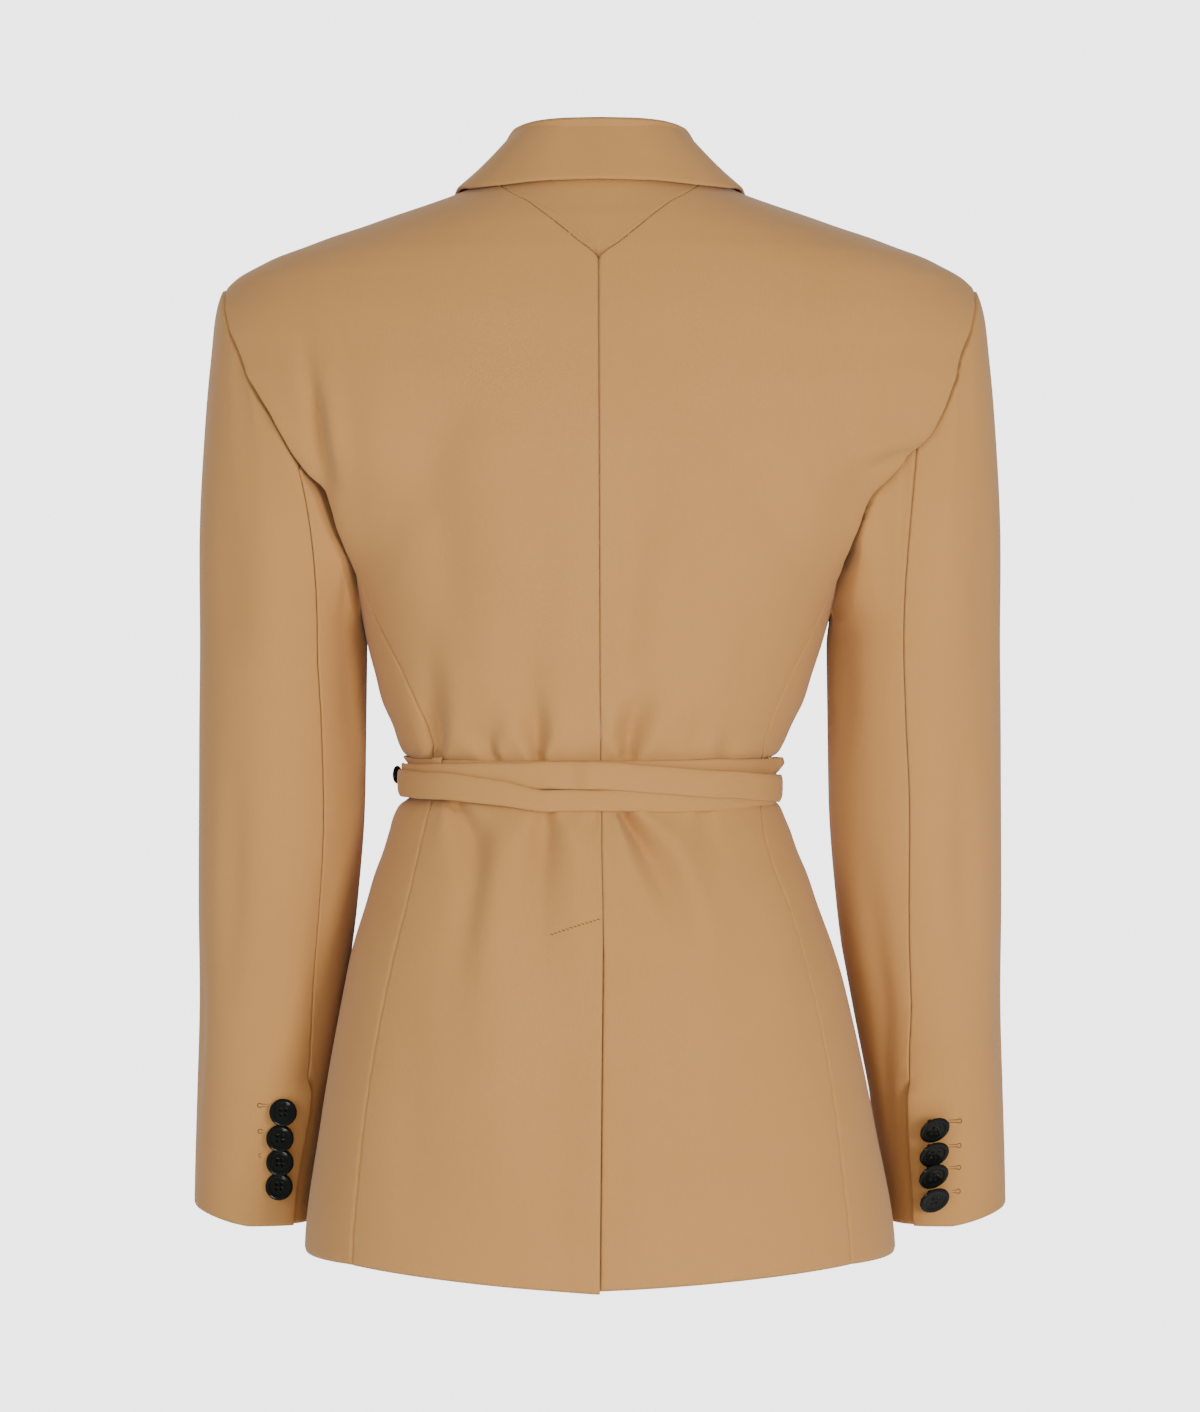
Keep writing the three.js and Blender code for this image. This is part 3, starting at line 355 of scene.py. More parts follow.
def cloth_piece(name, grid, outer, edges, wall=CLOTH, tucked=False):
    """A sewn piece: rolled edges, its own wall, and its cut's size measured off the surface.

    edges gives the kind of the left, right, top and bottom edge, and the area is the sum over the cells
    of half the cross product of their diagonals.
    """
    normal = face_way(grid)
    left, right, top, bottom = edges
    if np.sum(normal * outer) < 0:
        grid = grid[:, ::-1]
        normal = face_way(grid)
        left, right = right, left
    grid = sew_edges(grid, normal, {"left": left, "right": right, "top": top, "bottom": bottom})
    shown = tuck_under(grid, normal) if tucked else grid
    piece = mesh_piece(name + "_cloth", shown[:, ::-1], suiting, [name])
    solidify = piece.modifiers.new("wall", "SOLIDIFY")
    solidify.thickness = wall * MM
    solidify.offset = -1
    diagonals = np.cross(grid[1:, 1:] - grid[:-1, :-1], grid[1:, :-1] - grid[:-1, 1:])
    area = float(np.linalg.norm(diagonals, axis=-1).sum() / 2) * MM * MM
    across = float(arc(grid, 1)[:, -1].max()) * MM
    down = max(float(arc(grid, 0)[-1, grid.shape[1] // 2]) * MM, area / across)
    cuts[name] = (piece, (across, down), area)


print("cloth wall, mm:", CLOTH)

# %% [markdown]
# ## Seam lines
# A pattern is drawn as lines on the figure: the armhole, the side seams, the centre back, the yoke's
# point, the roll of the lapel. Panels share these lines, so neighbours always meet.

# %% The armhole and the seams
# The side, yoke and centre tables hold z and then x, the side and yoke ones for the left and the right.
ARM_MID, ARM_HIGH, ARM_BACK, ARM_FRONT = -163, 99, 64, 60
ARM_EASE = {1: 4, -1: -2.5}  # behind, the left loop lies nearer the centre and the right one further out
SIDE_LEAVES = 135 * RAD  # where on the armhole the side seams begin
SHOULDER_TIP, YOKE_POINT, HEM_FROM, HEM = -64, -55.7, -565, -660


def armhole_turn(side, a):
    """The loop z = mid + high cos a, y = deep sin a, laid onto the body; a is 0 at the shoulder tip."""
    a = np.asarray(a, float)
    z = ARM_MID + ARM_HIGH * np.cos(a)
    ease = ARM_EASE[side] * np.exp(-(((z + 150) / 26) ** 2))
    y = np.sin(a) * np.where(np.sin(a) > 0, ARM_BACK + ease, ARM_FRONT)
    n, q = square(z), np.minimum(1, np.abs(y) / np.where(y > 0, behind(z), ahead(z)))
    return np.arctan2(side * (1 - q**n) ** (1 / n), np.sign(y) * q), z


def armhole_point(side, a):
    """The body's point on the armhole loop."""
    turn, z = armhole_turn(side, a)
    return body(turn, z)


SIDE_TOP = ARM_MID + ARM_HIGH * np.cos(SIDE_LEAVES)
SIDE_SEAM = [
    (-245.5, 145.6, 143.8), (-271.6, 133.1, 130.5), (-303, 117, 114), (-336, 105.1, 101),
    (-351.7, 101.7, 98), (-375.2, 101.2, 97), (-391.9, 105.1, 98), (-412.7, 109.6, 102.5),
    (-438.2, 115.4, 111.5), (-468.5, 123, 121), (-502, 130.1, 129.8), (-543, 137.1, 137.6),
    (-596.5, 143.4, 144.4), (-652, 147.2, 149.1),
]
seam_start = [SIDE_TOP] + [abs(float(armhole_point(side, SIDE_LEAVES)[0])) for side in (1, -1)]
side_seam = {side: curve([seam_start] + SIDE_SEAM, column) for side, column in ((1, 1), (-1, 2))}
YOKE_SEAM = [
    (3, 66.5, 66.5), (-9.6, 57, 55.8), (-19, 42.6, 41.6), (-29.3, 29.7, 29), (-42.3, 14.4, 14),
    (YOKE_POINT, 0.9, -0.9),
]
yoke_seam = {side: curve(YOKE_SEAM, column) for side, column in ((1, 1), (-1, 2))}
CENTRE_SEAM = [
    (YOKE_POINT, 0.9), (-140, 0.6), (-258, 0), (-352, -0.4), (-411, -1.2), (-445, -1.8), (-551, -0.9),
    (-661, 0),
]
ROLL_LINE = [
    (3, 66), (-30, 65), (-60, 61), (-150, 48), (-250, 27), (-320, 8), (-340, 2), (-350, -20), (-664, -20),
]
LAPEL_EDGE = [(-50, 113), (-74, 112.4), (-130, 107), (-200, 86), (-270, 52), (-320, 20), (-338, 5)]
centre_seam, roll_line, lapel_edge = (curve(rows, 1) for rows in (CENTRE_SEAM, ROLL_LINE, LAPEL_EDGE))
HEM_FRONT, HEM_BACK, HEM_DROP = -656, -652, {1: 12, -1: 10.5}
ABOVE_BELT, BELOW_BELT, OVERLAP_LIFT = -335, -400, 2.6
print("side seams leave the armhole at z", round(float(SIDE_TOP), 1))


# %% Rows and the lines that bound the panels
def panel_rows():
    """Heights from neck to hem: even steps down each stretch, and even angles round the armhole."""
    hole = ARM_MID + ARM_HIGH * np.cos(np.linspace(0, SIDE_LEAVES, 70))
    stretches = [
        np.linspace(3, YOKE_POINT, 28)[:-1], np.linspace(YOKE_POINT, SHOULDER_TIP, 5)[:-1], hole[:-1],
        np.linspace(SIDE_TOP, ABOVE_BELT, 36)[:-1], np.linspace(ABOVE_BELT, BELOW_BELT, 40)[:-1],
        np.linspace(BELOW_BELT, HEM_FROM, 50)[:-1],
        HEM_FROM + (HEM - HEM_FROM) * np.linspace(0, 1, 34) ** 0.8,
    ]
    return np.concatenate(stretches)


def to_hem(z, x, front, side):
    """Below HEM_FROM the rows bend to the hem, which is lowest at the centre back."""
    near = np.minimum(1, np.abs(x) / 150)
    hem = np.where(front, HEM_FRONT, HEM_BACK - HEM_DROP[side] * (1 - near**1.2))
    return np.where(z > HEM_FROM, z, HEM_FROM + (z - HEM_FROM) * (hem - HEM_FROM) / (HEM - HEM_FROM))


def outer_turn(side, z, front):
    """Ridge of the shoulder, then the armhole, then the side seam."""
    a = np.arccos(np.clip((z - ARM_MID) / ARM_HIGH, -1, 1))
    hole = armhole_turn(side, -a if front else a)[0]
    seam = turn_at(side * side_seam[side](z), z, front)
    return np.where(z >= SHOULDER_TIP, side * np.pi / 2, np.where(z >= SIDE_TOP, hole, seam))


def inner_turn(side, z, front):
    """Roll line of the lapel in front; behind, the yoke seam and then the centre back seam."""
    if front:
        return turn_at(side * roll_line(z), z, True)
    return np.where(z >= YOKE_POINT, turn_at(side * yoke_seam[side](z), z), turn_at(centre_seam(z), z))


def one_way(turn, side):
    """Front turns of the far half are carried past 180 degrees, so a row never jumps."""
    if side > 0:
        return np.where(turn < -0.6, turn + 2 * np.pi, turn)
    return np.where(turn > 0.6, turn - 2 * np.pi, turn)


def overlap(turn, z, side):
    """The right front rises over the left one, from just above the waist to the hem."""
    if side > 0:
        return np.zeros(np.broadcast(turn, z).shape)
    x = bare(turn, z)[..., 0]
    near = 1 - smooth((shift(z) - x) / 12 - 2.6)
    return OVERLAP_LIFT * near * np.clip((-300 - z) / 30, 0, 1) * (np.cos(turn) < 0)


print("rows from neck to hem:", len(panel_rows()))

# %% [markdown]
# ## Shader sums written as sums
# A finish is arithmetic on patterns: a bit of weave, less where it is dark. The class below wraps one
# socket, so that sums in Python add the matching Math nodes.


# %% The shader helper
class Sum:
    """A float socket that adds a Math node for each +, * or number minus socket."""

    def __init__(self, finish, socket):
        self.finish, self.socket = finish, socket

    def _math(self, operation, *terms):
        return self.finish.sum("ShaderNodeMath", {"operation": operation}, terms)

    def __add__(self, other):
        return self._math("ADD", self, other)

    def __mul__(self, other):
        return self._math("MULTIPLY", self, other)

    def __rsub__(self, other):
        return self._math("SUBTRACT", other, self)

    __radd__ = __add__


class Finish:
    """A material whose nodes are added one call at a time."""

    def __init__(self, name):
        self.material = bpy.data.materials.new(name)
        self.material.use_nodes = True
        self.tree = self.material.node_tree
        self.shader = self.tree.nodes["Principled BSDF"]

    def node(self, kind, settings=None, values=()):
        """Adds a node: settings first, then values or links by position or by socket name."""
        made = self.tree.nodes.new(kind)
        for key, value in (settings or {}).items():
            setattr(made, key, value)
        pairs = values.items() if isinstance(values, dict) else enumerate(values)
        for key, value in pairs:
            self.put(made.inputs[key], value)
        return made

    def put(self, socket, value):
        """Links a socket or a sum, and sets anything else as the socket's own value."""
        value = value.socket if isinstance(value, Sum) else value
        if isinstance(value, bpy.types.NodeSocket):
            self.tree.links.new(value, socket)
        else:
            socket.default_value = value

    def sum(self, kind, settings=None, values=(), output=0):
        """A new node's output as a Sum."""
        return Sum(self, self.node(kind, settings, values).outputs[output])

    def noise(self, vector, scale, detail):
        """Soft noise from 0 to 1 over a place or a UV map."""
        values = {"Vector": vector, "Scale": scale, "Detail": detail}
        return self.sum("ShaderNodeTexNoise", {}, values, "Fac")

    def blend(self, share, first, second):
        """The colour first * (1 - share) + second * share."""
        values = {"Factor": share, "A": first, "B": second}
        return self.node("ShaderNodeMix", {"data_type": "RGBA"}, values).outputs["Result"]

    def place(self):
        """Object coordinates, in metres."""
        return self.node("ShaderNodeTexCoord").outputs["Object"]

    def set(self, **sockets):
        """Puts values into the shader's sockets; a name's _ stands for a space."""
        for key, value in sockets.items():
            self.put(self.shader.inputs[key.replace("_", " ")], value)


print("a finish can:", [key for key in vars(Finish) if not key.startswith("_")])


# %% [markdown]
# ## The suiting
# The cloth is a fine plain weave in a matte camel. Seen from a few steps away the weave is only a
# slight grain, so warp and weft are two sets of waves on the cloth's own UV map, which follows each
# piece as it bends, and slow noise makes the colour a little uneven, as dyed yarn is.

# %% Camel suiting
CAMEL, CAMEL_DEEP = (0.46, 0.225, 0.068, 1), (0.4, 0.192, 0.054, 1)
YARN = 0.00055  # metres between yarns


def suiting_finish(name):
    """Colour follows 0.5 cloud + 0.3 slub + 0.2 weave, and relief follows 0.7 weave + 0.5 slub."""
    cloth = Finish(name)
    uv = cloth.node("ShaderNodeUVMap", {"uv_map": "cloth"}).outputs[0]
    waves = {"wave_type": "BANDS", "wave_profile": "SIN"}
    yarns = {"Scale": 1 / (YARN * 6.28), "Distortion": 1.2, "Detail": 1.0, "Detail Scale": 2.0}
    warp = cloth.sum("ShaderNodeTexWave", waves | {"bands_direction": "X"}, {"Vector": uv} | yarns, "Fac")
    weft = cloth.sum("ShaderNodeTexWave", waves | {"bands_direction": "Y"}, {"Vector": uv} | yarns, "Fac")
    slub, cloud = cloth.noise(uv, 900.0, 2.0), cloth.noise(cloth.place(), 14.0, 3.0)
    weave = warp * 0.5 + weft * 0.5
    colour = cloth.blend(cloud * 0.5 + slub * 0.3 + weave * 0.2, CAMEL_DEEP, CAMEL)
    height = weave * 0.7 + slub * 0.5
    bump = cloth.node("ShaderNodeBump", {}, {"Strength": 0.35, "Distance": 0.00025, "Height": height})
    cloth.set(Base_Color=colour, Roughness=0.93 - weave * 0.1, Normal=bump.outputs[0])
    cloth.set(Sheen_Weight=0.12, Sheen_Roughness=0.5, Specular_IOR_Level=0.25)
    return cloth.material


suiting = suiting_finish("camel_suiting")
print("material:", suiting.name)

# %% [markdown]
# ## Back and front panels
# Each half of the back and of the front is one piece. Every row runs from an inner line (centre seam or
# lapel roll) to an outer line (shoulder, armhole, side seam), at one height until it nears the hem.


# %% Panels
VENT_TOP, VENT_RAISE, VENT_SINK = -446, 1.9, 0.7
# How the panels stand over the sleeves: middle level, reach, height.
FRONT_RIDGE, BACK_RIDGE, RIDGE_WIDE = (-172, 46, 1.6), {1: (-182, 50, 4.4), -1: (-182, 50, 3.4)}, 13


def vent_lap(turn, z, side):
    """Below the vent's top the left edge rises and the right one dips, by height * exp(-(far/wide)^2)."""
    far = bare(turn, z)[..., 0] - centre_seam(z)
    height, wide = (VENT_RAISE, 16) if side > 0 else (-VENT_SINK, 26)
    return np.exp(-((far / wide) ** 2)) * smooth((VENT_TOP - z) / 26) * height


def armhole_ridge(far, z, side, front):
    """Beside the armhole the panel rises by high * exp(-(far/wide)^2 - ((z - middle)/reach)^4)."""
    middle, reach, high = FRONT_RIDGE if front else BACK_RIDGE[side]
    return high * np.exp(-((far / RIDGE_WIDE) ** 2) - ((z - middle) / reach) ** 4)


def panel(side, front, name, columns):
    """Rows from the inner to the outer line; the turn runs evenly between them, closer together at both."""
    z = panel_rows()[:, None]
    start, end = one_way(inner_turn(side, z, front), side), one_way(outer_turn(side, z, front), side)
    turn = start + (end - start) * spread(columns)[None, :]
    z = to_hem(np.broadcast_to(z, turn.shape), bare(turn, z)[..., 0], front, side)
    lift = overlap(turn, z, side) if front else vent_lap(turn, z, side)
    grid = body(turn, z, lift)
    from_hole = arc(grid[:, ::-1], 1)[:, ::-1]
    grid = grid + outward(turn, z) * armhole_ridge(from_hole, z, side, front)[..., None]
    edges = ("edge" if front else "seam", "seam", None, "edge")
    cloth_piece(name, grid, outward(turn, z), edges)


for side, word in SIDES:
    panel(side, False, "back_" + word, 74)
    panel(side, True, "front_" + word, 66)
print("panels:", len(pieces))


# %% Yoke, vent strip and side panels
VENT_START, VENT_WIDE, VENT_BELOW, VENT_WALL = 0.6, 28.5, 1.1, 1.4


def yoke():
    """The pointed piece under the collar: rows between the two yoke seams."""
    z = np.linspace(3, -55.2, 46)[:, None]
    start, end = turn_at(-yoke_seam[-1](z), z), turn_at(yoke_seam[1](z), z)
    turn = start + (end - start) * spread(64)[None, :]
    z = np.broadcast_to(z, turn.shape)
    cloth_piece("back_yoke", body(turn, z), outward(turn, z), ("seam", "seam", None, None))


def vent_strip():
    """The part of the right back that runs on under the left one, below the vent's top."""
    z = np.linspace(-450, -655, 70)[:, None]
    x = centre_seam(z) + VENT_START + np.linspace(0, VENT_WIDE, 14)[None, :]
    z = np.broadcast_to(z, x.shape)
    turn = turn_at(x, z)
    grid = body(turn, z, -CLOTH - VENT_BELOW)
    cloth_piece("vent_underlap", grid, outward(turn, z), (None, "edge", None, "edge"), VENT_WALL)


def side_panel(side, word):
    """From the underarm to the hem. The top row is the bottom of the armhole and the rest eases to level."""
    z = panel_rows()
    z = z[z <= SIDE_TOP + 0.01][:, None]
    share = spread(46, 0.7)[None, :]
    hole_turn, hole_z = armhole_turn(side, SIDE_LEAVES + (2 * np.pi - 2 * SIDE_LEAVES) * share)
    start, end = one_way(outer_turn(side, z, False), side), one_way(outer_turn(side, z, True), side)
    even = start + (end - start) * share
    drop = SIDE_TOP - z
    ease = np.exp(-drop / 30.0)
    turn = even + (one_way(hole_turn, side) - even) * ease * (1 - smooth(drop / 110))
    level = hole_z + (z - SIDE_TOP) * 0.9
    own = z + (np.minimum(z, level) - z) * (1 - smooth(drop / 80))
    front = np.cos(turn) < 0
    own = to_hem(own, bare(turn, own)[..., 0], front, side)
    edges = ("seam", "seam", "seam", "edge")
    cloth_piece("side_" + word, body(turn, own), outward(turn, own), edges, tucked=True)


yoke()
vent_strip()
for side, word in SIDES:
    side_panel(side, word)
print("pieces so far:", len(pieces))

# %% [markdown]
# ## Two-piece sleeves
# A tailored sleeve has a wide top piece and a narrow under piece, and bends forward at the elbow. Above
# the underarm each thread of the surface is a curve that leaves the armhole and ends straight down in the
# first level ring; below that the sleeve is a stack of ovals that move forward and get narrower.

# %% Sleeve rings
# z, centre x, centre y, half width, half depth.
SLEEVE = [
    (-282, 194.6, -2, 51.4, 62), (-330, 195.3, -5, 51.4, 60), (-378, 196, -8, 51.2, 58),
    (-440, 199, -16, 49.2, 55), (-502, 203.8, -28, 45.2, 52), (-563, 209.8, -38, 41.6, 50),
    (-640, 216, -50, 38, 47),
]
arm_x, arm_y, arm_wide, arm_deep = (curve(SLEEVE, column) for column in range(1, 5))
# How many degrees the elbow seam lies towards the body: z, left, right.
ELBOW = [
    (-282, 28.6, 11.1), (-330, 32, 10), (-378, 34.5, 8.1), (-440, 37.3, 11.2), (-502, 40.2, 16.3),
    (-545, 44, 26), (-563, 45, 28), (-600, 42.5, 32), (-640, 40, 33),
]
elbow_twist = {1: curve(ELBOW, 1), -1: curve(ELBOW, 2)}
LEAN_IN = {1: 0.45, -1: 0.25}  # behind the arm the threads leave towards the body
RING_TOP, CUFF_FROM, CUFF, CUFF_HEM, CUFF_RISE = -282, -592, -640, -641, 9.5
FRONT_TWIST = -18 * RAD
# The groove beside the back panel's edge: middle level, reach, depth and width. UNDERCUT is its lean.
ARM_GROOVE, UNDERCUT = {1: (-202, 58, 20.0, 6.4), -1: (-256, 52, 20.0, 7.4)}, 0.3
SEAM_GROOVE, SEAM_GROOVE_WIDE = 4.5, 1.5
# Folds of both sleeves: z, degrees round, half length, half width in degrees, height.
SLEEVE_FOLDS = [
    (-300, 150, 40, 14, -4), (-420, 60, 60, 12, -3), (-470, 130, 50, 12, -2.6), (-380, 330, 60, 14, -2.6),
    (-520, 20, 50, 12, -2.2),
]


def sleeve_ring(side, angle, z, out=0.0):
    """Oval cx + w cos, cy + d sin, moved out along its normal; the right sleeve is a little fuller inside."""
    fold = np.zeros(np.broadcast(angle, z).shape)
    for fz, fa, long, wide, high in SLEEVE_FOLDS:
        off = (np.degrees(angle) - fa + 540) % 360 - 180
        fold = fold + high * np.exp(-(((z - fz) / long) ** 2) - (off / wide) ** 2)
    fuller = 0 if side > 0 else 1.9 * np.clip((z + 560) / 90, 0, 1)
    wide, deep = arm_wide(z), arm_deep(z)
    nx, ny = np.cos(angle) / wide, np.sin(angle) / deep
    far = (out + fold) / np.hypot(nx, ny)
    x = side * (arm_x(z) - fuller + (wide + fuller) * np.cos(angle) + far * nx)
    return np.stack(np.broadcast_arrays(x, arm_y(z) + deep * np.sin(angle) + far * ny, z), -1)


def ring_angle(side, a, z):
    """The threads turn so that the elbow seam and the front seam lie towards the body."""
    twist = elbow_twist[side](z) * RAD
    return a + np.where(np.sin(a) > 0, twist, FRONT_TWIST) * np.sin(a) ** 2


def to_cuff(z, angle):
    """The cuff is cut a little shorter on its outer side."""
    hem = CUFF_HEM + CUFF_RISE * np.clip(np.cos(angle), 0, 1) ** 1.3
    return np.where(z > CUFF_FROM, z, CUFF_FROM + (z - CUFF_FROM) * (hem - CUFF_FROM) / (CUFF - CUFF_FROM))


print("round the cuff, mm:", round(float(2 * np.pi * np.hypot(arm_wide(CUFF), arm_deep(CUFF)) / np.sqrt(2))))


# %% Sleeve caps and their groove
def arm_groove(side, points, across):
    """How far the sleeve dips by the seam all round, and far more beside the back panel.

    Each dip is a trench, deep * exp(-(gap/wide)^4). The second one takes its gap as seen from behind, is
    widest at its middle level and fades out above and below it.
    """
    middle, reach, deep, wide = ARM_GROOVE[side]
    line = armhole_point(side, np.linspace(0, 2 * np.pi, 420))
    apart = points[..., None, :] - line
    gap = np.linalg.norm(apart, axis=-1).min(-1)
    flat_gap = np.linalg.norm(apart[..., [0, 2]], axis=-1).min(-1)
    seam = SEAM_GROOVE * np.exp(-((gap / SEAM_GROOVE_WIDE) ** 4))
    level = np.exp(-(((points[..., 2] - middle) / reach) ** 4)) * smooth((points[..., 1] - 15) / 25)
    wide = wide * (0.3 + 0.7 * np.exp(-(((points[..., 2] - middle) / 26) ** 2)))
    behind_arm = deep * level * np.exp(-((flat_gap / wide) ** 4))
    return -across * seam[..., None] - np.array([side * UNDERCUT, 1, 0]) * behind_arm[..., None]


def sleeve_grid(side, a, lap=0.0):
    """Rows down, columns round, and four rows turned in under the panels at the armhole.

    The cap is a Hermite curve from the armhole, where it leaves along lean, straight down into the first
    ring. lap turns the threads below the vent, so that one piece runs on under the other.
    """
    a = a[None, :]
    turn, z = armhole_turn(side, a)
    low = (1 - np.cos(a)) / 2
    across = outward(turn, z)
    hole = body(turn, z)
    start = hole - across * (0.2 + 1.2 * smooth(low))[..., None]
    end = sleeve_ring(side, ring_angle(side, a, RING_TOP), np.full(a.shape, float(RING_TOP)))
    sideways = 0.3 * (1 - low) + 0.03 - LEAN_IN[side] * np.clip(np.sin(a), 0, 1) ** 2
    lean = np.stack([side * sideways, 0.2 * np.sin(a) * (1 - low), np.full(a.shape, -0.9)], -1)
    far = np.linalg.norm(end - start, axis=-1, keepdims=True)
    t = (np.linspace(0, 1, 60) ** 1.25)[:, None, None]
    cap = start * (2 * t**3 - 3 * t**2 + 1) + unit(lean) * far * (t**3 - 2 * t**2 + t)
    cap = cap + end * (3 * t**2 - 2 * t**3) + np.array([0, 0, -1.0]) * far * (t**3 - t**2)
    cap = cap + arm_groove(side, cap, across)
    under = hole - across * 1.7
    turned_in = [under + (cap[:1] - under) * share for share in (0, 0.25, 0.5, 0.75)]
    z = np.concatenate([np.linspace(RING_TOP, -540, 70)[1:], np.linspace(-540, CUFF, 52)[1:]])[:, None]
    angle = ring_angle(side, a, z) + lap * smooth((-556 - z) / 16)
    z = to_cuff(z, angle)
    return np.concatenate([*turned_in, cap, sleeve_ring(side, angle, z)])


print("groove behind the arm, mm:", {side: row[2] for side, row in ARM_GROOVE.items()})

# %% Sleeve creases, cuff vents and the four pieces
VENT_LIFT, VENT_SUNK, VENT_LAP = 4.6, 4.0, 7 * RAD
# z, thread in degrees, half length, half width in degrees, height, lean in degrees a millimetre.
ARM_CREASES = {
    1: [
        (-150, 0, 60, 60, -3, 0), (-74, 4, 22, 44, 2.8, 0), (-245, 42, 60, 13, -3, 0),
        (-250, 66, 60, 12, 1.6, 0), (-236, 128, 40, 16, -2, 0.3), (-500, 60, 40, 10, -1.6, 0.2),
    ],
    -1: [
        (-150, 0, 60, 60, -3, 0), (-76, 4, 22, 44, 2.4, 0), (-200, 101, 40, 6, -2.2, 0),
        (-228, 128, 9, 24, -2.4, 0.9), (-252, 140, 10, 24, 1.8, 0.9), (-250, 40, 50, 12, -1.8, 0),
        (-520, 118, 50, 14, -2, 0), (-545, 68, 14, 20, -1.6, 0.6),
    ],
}


def arm_creases(side, thread, z):
    """Sum of high * exp(-((z - z0)/long)^2 - (off/wide)^2), where off is the distance round the arm."""
    total = np.zeros(np.broadcast(thread, z).shape)
    for cz, at, long, wide, high, lean in ARM_CREASES[side]:
        off = thread - at - lean * (z - cz)
        total += high * np.exp(-(((z - cz) / long) ** 2) - (off / wide) ** 2)
    return total


def sleeve_piece(side, word, top):
    """Top piece: elbow seam to front seam over the outside. Under piece: the same seams, inside.

    Above the cuff the elbow seam is a vent: there the top piece stands by VENT_LIFT * exp(-(off/wide)^2)
    over the under one, which sinks and runs on below it.
    """
    quarter = np.pi / 2
    a = quarter - np.pi * spread(110, 0.7) if top else quarter + np.pi * spread(84, 0.7)
    near = np.exp(-(((a - quarter) / (0.3 if top else 0.15)) ** 2))
    grid = sleeve_grid(side, a, 0.0 if top else -VENT_LAP * near)
    outer = face_way(grid)
    if np.sum(outer[-1] * (grid[-1] - grid[-1].mean(0))) < 0:
        outer = -outer
    lift = (VENT_LIFT if top else -VENT_SUNK) * near[None, :] * smooth((-548 - grid[..., 2]) / 12)
    lift = lift + arm_creases(side, np.degrees(a)[None, :], grid[..., 2])
    grid = grid + outer * lift[..., None]
    name = ("top_sleeve_" if top else "under_sleeve_") + word
    cloth_piece(name, grid, outer, ("seam", "seam", None, "edge"))


for side, word in SIDES:
    sleeve_piece(side, word, True)
    sleeve_piece(side, word, False)
print("pieces so far:", len(pieces))

# %% [markdown]
# ## Collar and lapels
# The collar is a band that stands up from the neck seam, folds over and falls on the shoulders. Three
# lines carry it: seam, fold and outer edge. Across it, one bend joins seam to fold and another fold to
# edge, each a quadratic Bezier curve. The lapels are the fronts' own shape, lifted a little.

# %% Collar
# Share of the way to the front end; then spots of seam, fold and edge. Seam and edge lie on the body:
# x, z, height, and 1 on the front. The fold stands free: x, y, z.
COLLAR = [
    (0, (0, 1.9, -0.8, 0), (0, 62, 33.4), (0, -8.2, 5.4, 0)),
    (0.2, (24, 1.9, -0.8, 0), (21, 60, 33.2), (33, -8.8, 4.6, 0)),
    (0.4, (45, 1.9, -0.8, 0), (39, 49, 32.8), (60, -9.8, 3.4, 0)),
    (0.6, (60, 1.9, -0.8, 0), (49, 31, 31.4), (77.5, -9.4, 3.2, 0)),
    (0.72, (65.5, 1.9, -0.6, 0), (57.4, 7, 22.5), (85.6, -8, 3.4, 0)),
    (0.8, (66, -1, 3.9, 1), (63.5, -20, 9), (93, -16, 4.4, 1)),
    (0.89, (65, -20, 3.4, 1), (66, -50, -12), (99, -34, 4.6, 1)),
    (1, (62.5, -47, 3.2, 1), (63.5, -70, -43), (102, -58, 4.2, 1)),
]
COLLAR_WALL, ROUND_FALL, ROUND_STAND = 2.0, 0.16, 1.5
STAND_ROWS, FALL_ROWS, COLLAR_ACROSS = 26, 43, 201
LAPEL_TOP, LAPEL_END, TOP_SLOPE, LAPEL_LIFT = -50, -334, 24, 2.8


def collar():
    """Two bends first (1-t)^2 + middle 2t(1-t) + last t^2: seam to fold, then fold to edge."""
    across = np.linspace(-1, 1, COLLAR_ACROSS)

    def line(points):
        """A smooth line through the table's spots, mirrored to the other side."""
        rows = [(-row[0], *point) for row, point in zip(COLLAR, points)]
        x, y, z = (curve(rows, column)(-np.abs(across)) for column in (1, 2, 3))
        return np.stack([np.where(across < 0, -x, x), y, z], -1)[None]

    def spot(x, z, out, front):
        """The body's point at x and z, on the front or behind."""
        return body(turn_at(x, float(z), front == 1), float(z), out)

    def bend(first, middle, last, t):
        return first * (1 - t) ** 2 + middle * 2 * t * (1 - t) + last * t**2

    seam, edge = (line([spot(*row[k]) for row in COLLAR]) for k in (1, 3))
    fold = line([row[2] for row in COLLAR])
    stand = (seam + fold) / 2 + np.array([0, 0, ROUND_STAND])
    full = ROUND_FALL * (1 - 0.8 * np.abs(across))[None, :, None]
    fall = fold * 0.6 + edge * 0.4 + (fold - seam) * full
    up = np.linspace(0, 1, STAND_ROWS)[:, None, None]
    down = np.linspace(0, 1, FALL_ROWS + 1)[1:, None, None]
    grid = np.concatenate([bend(seam, stand, fold, up), bend(fold, fall, edge, down)])
    outer = face_way(grid)
    if outer[STAND_ROWS + FALL_ROWS // 2, COLLAR_ACROSS // 2, 1] < 0:
        outer = -outer
    cloth_piece("collar", grid, outer, ("edge", "edge", None, "edge"), COLLAR_WALL)


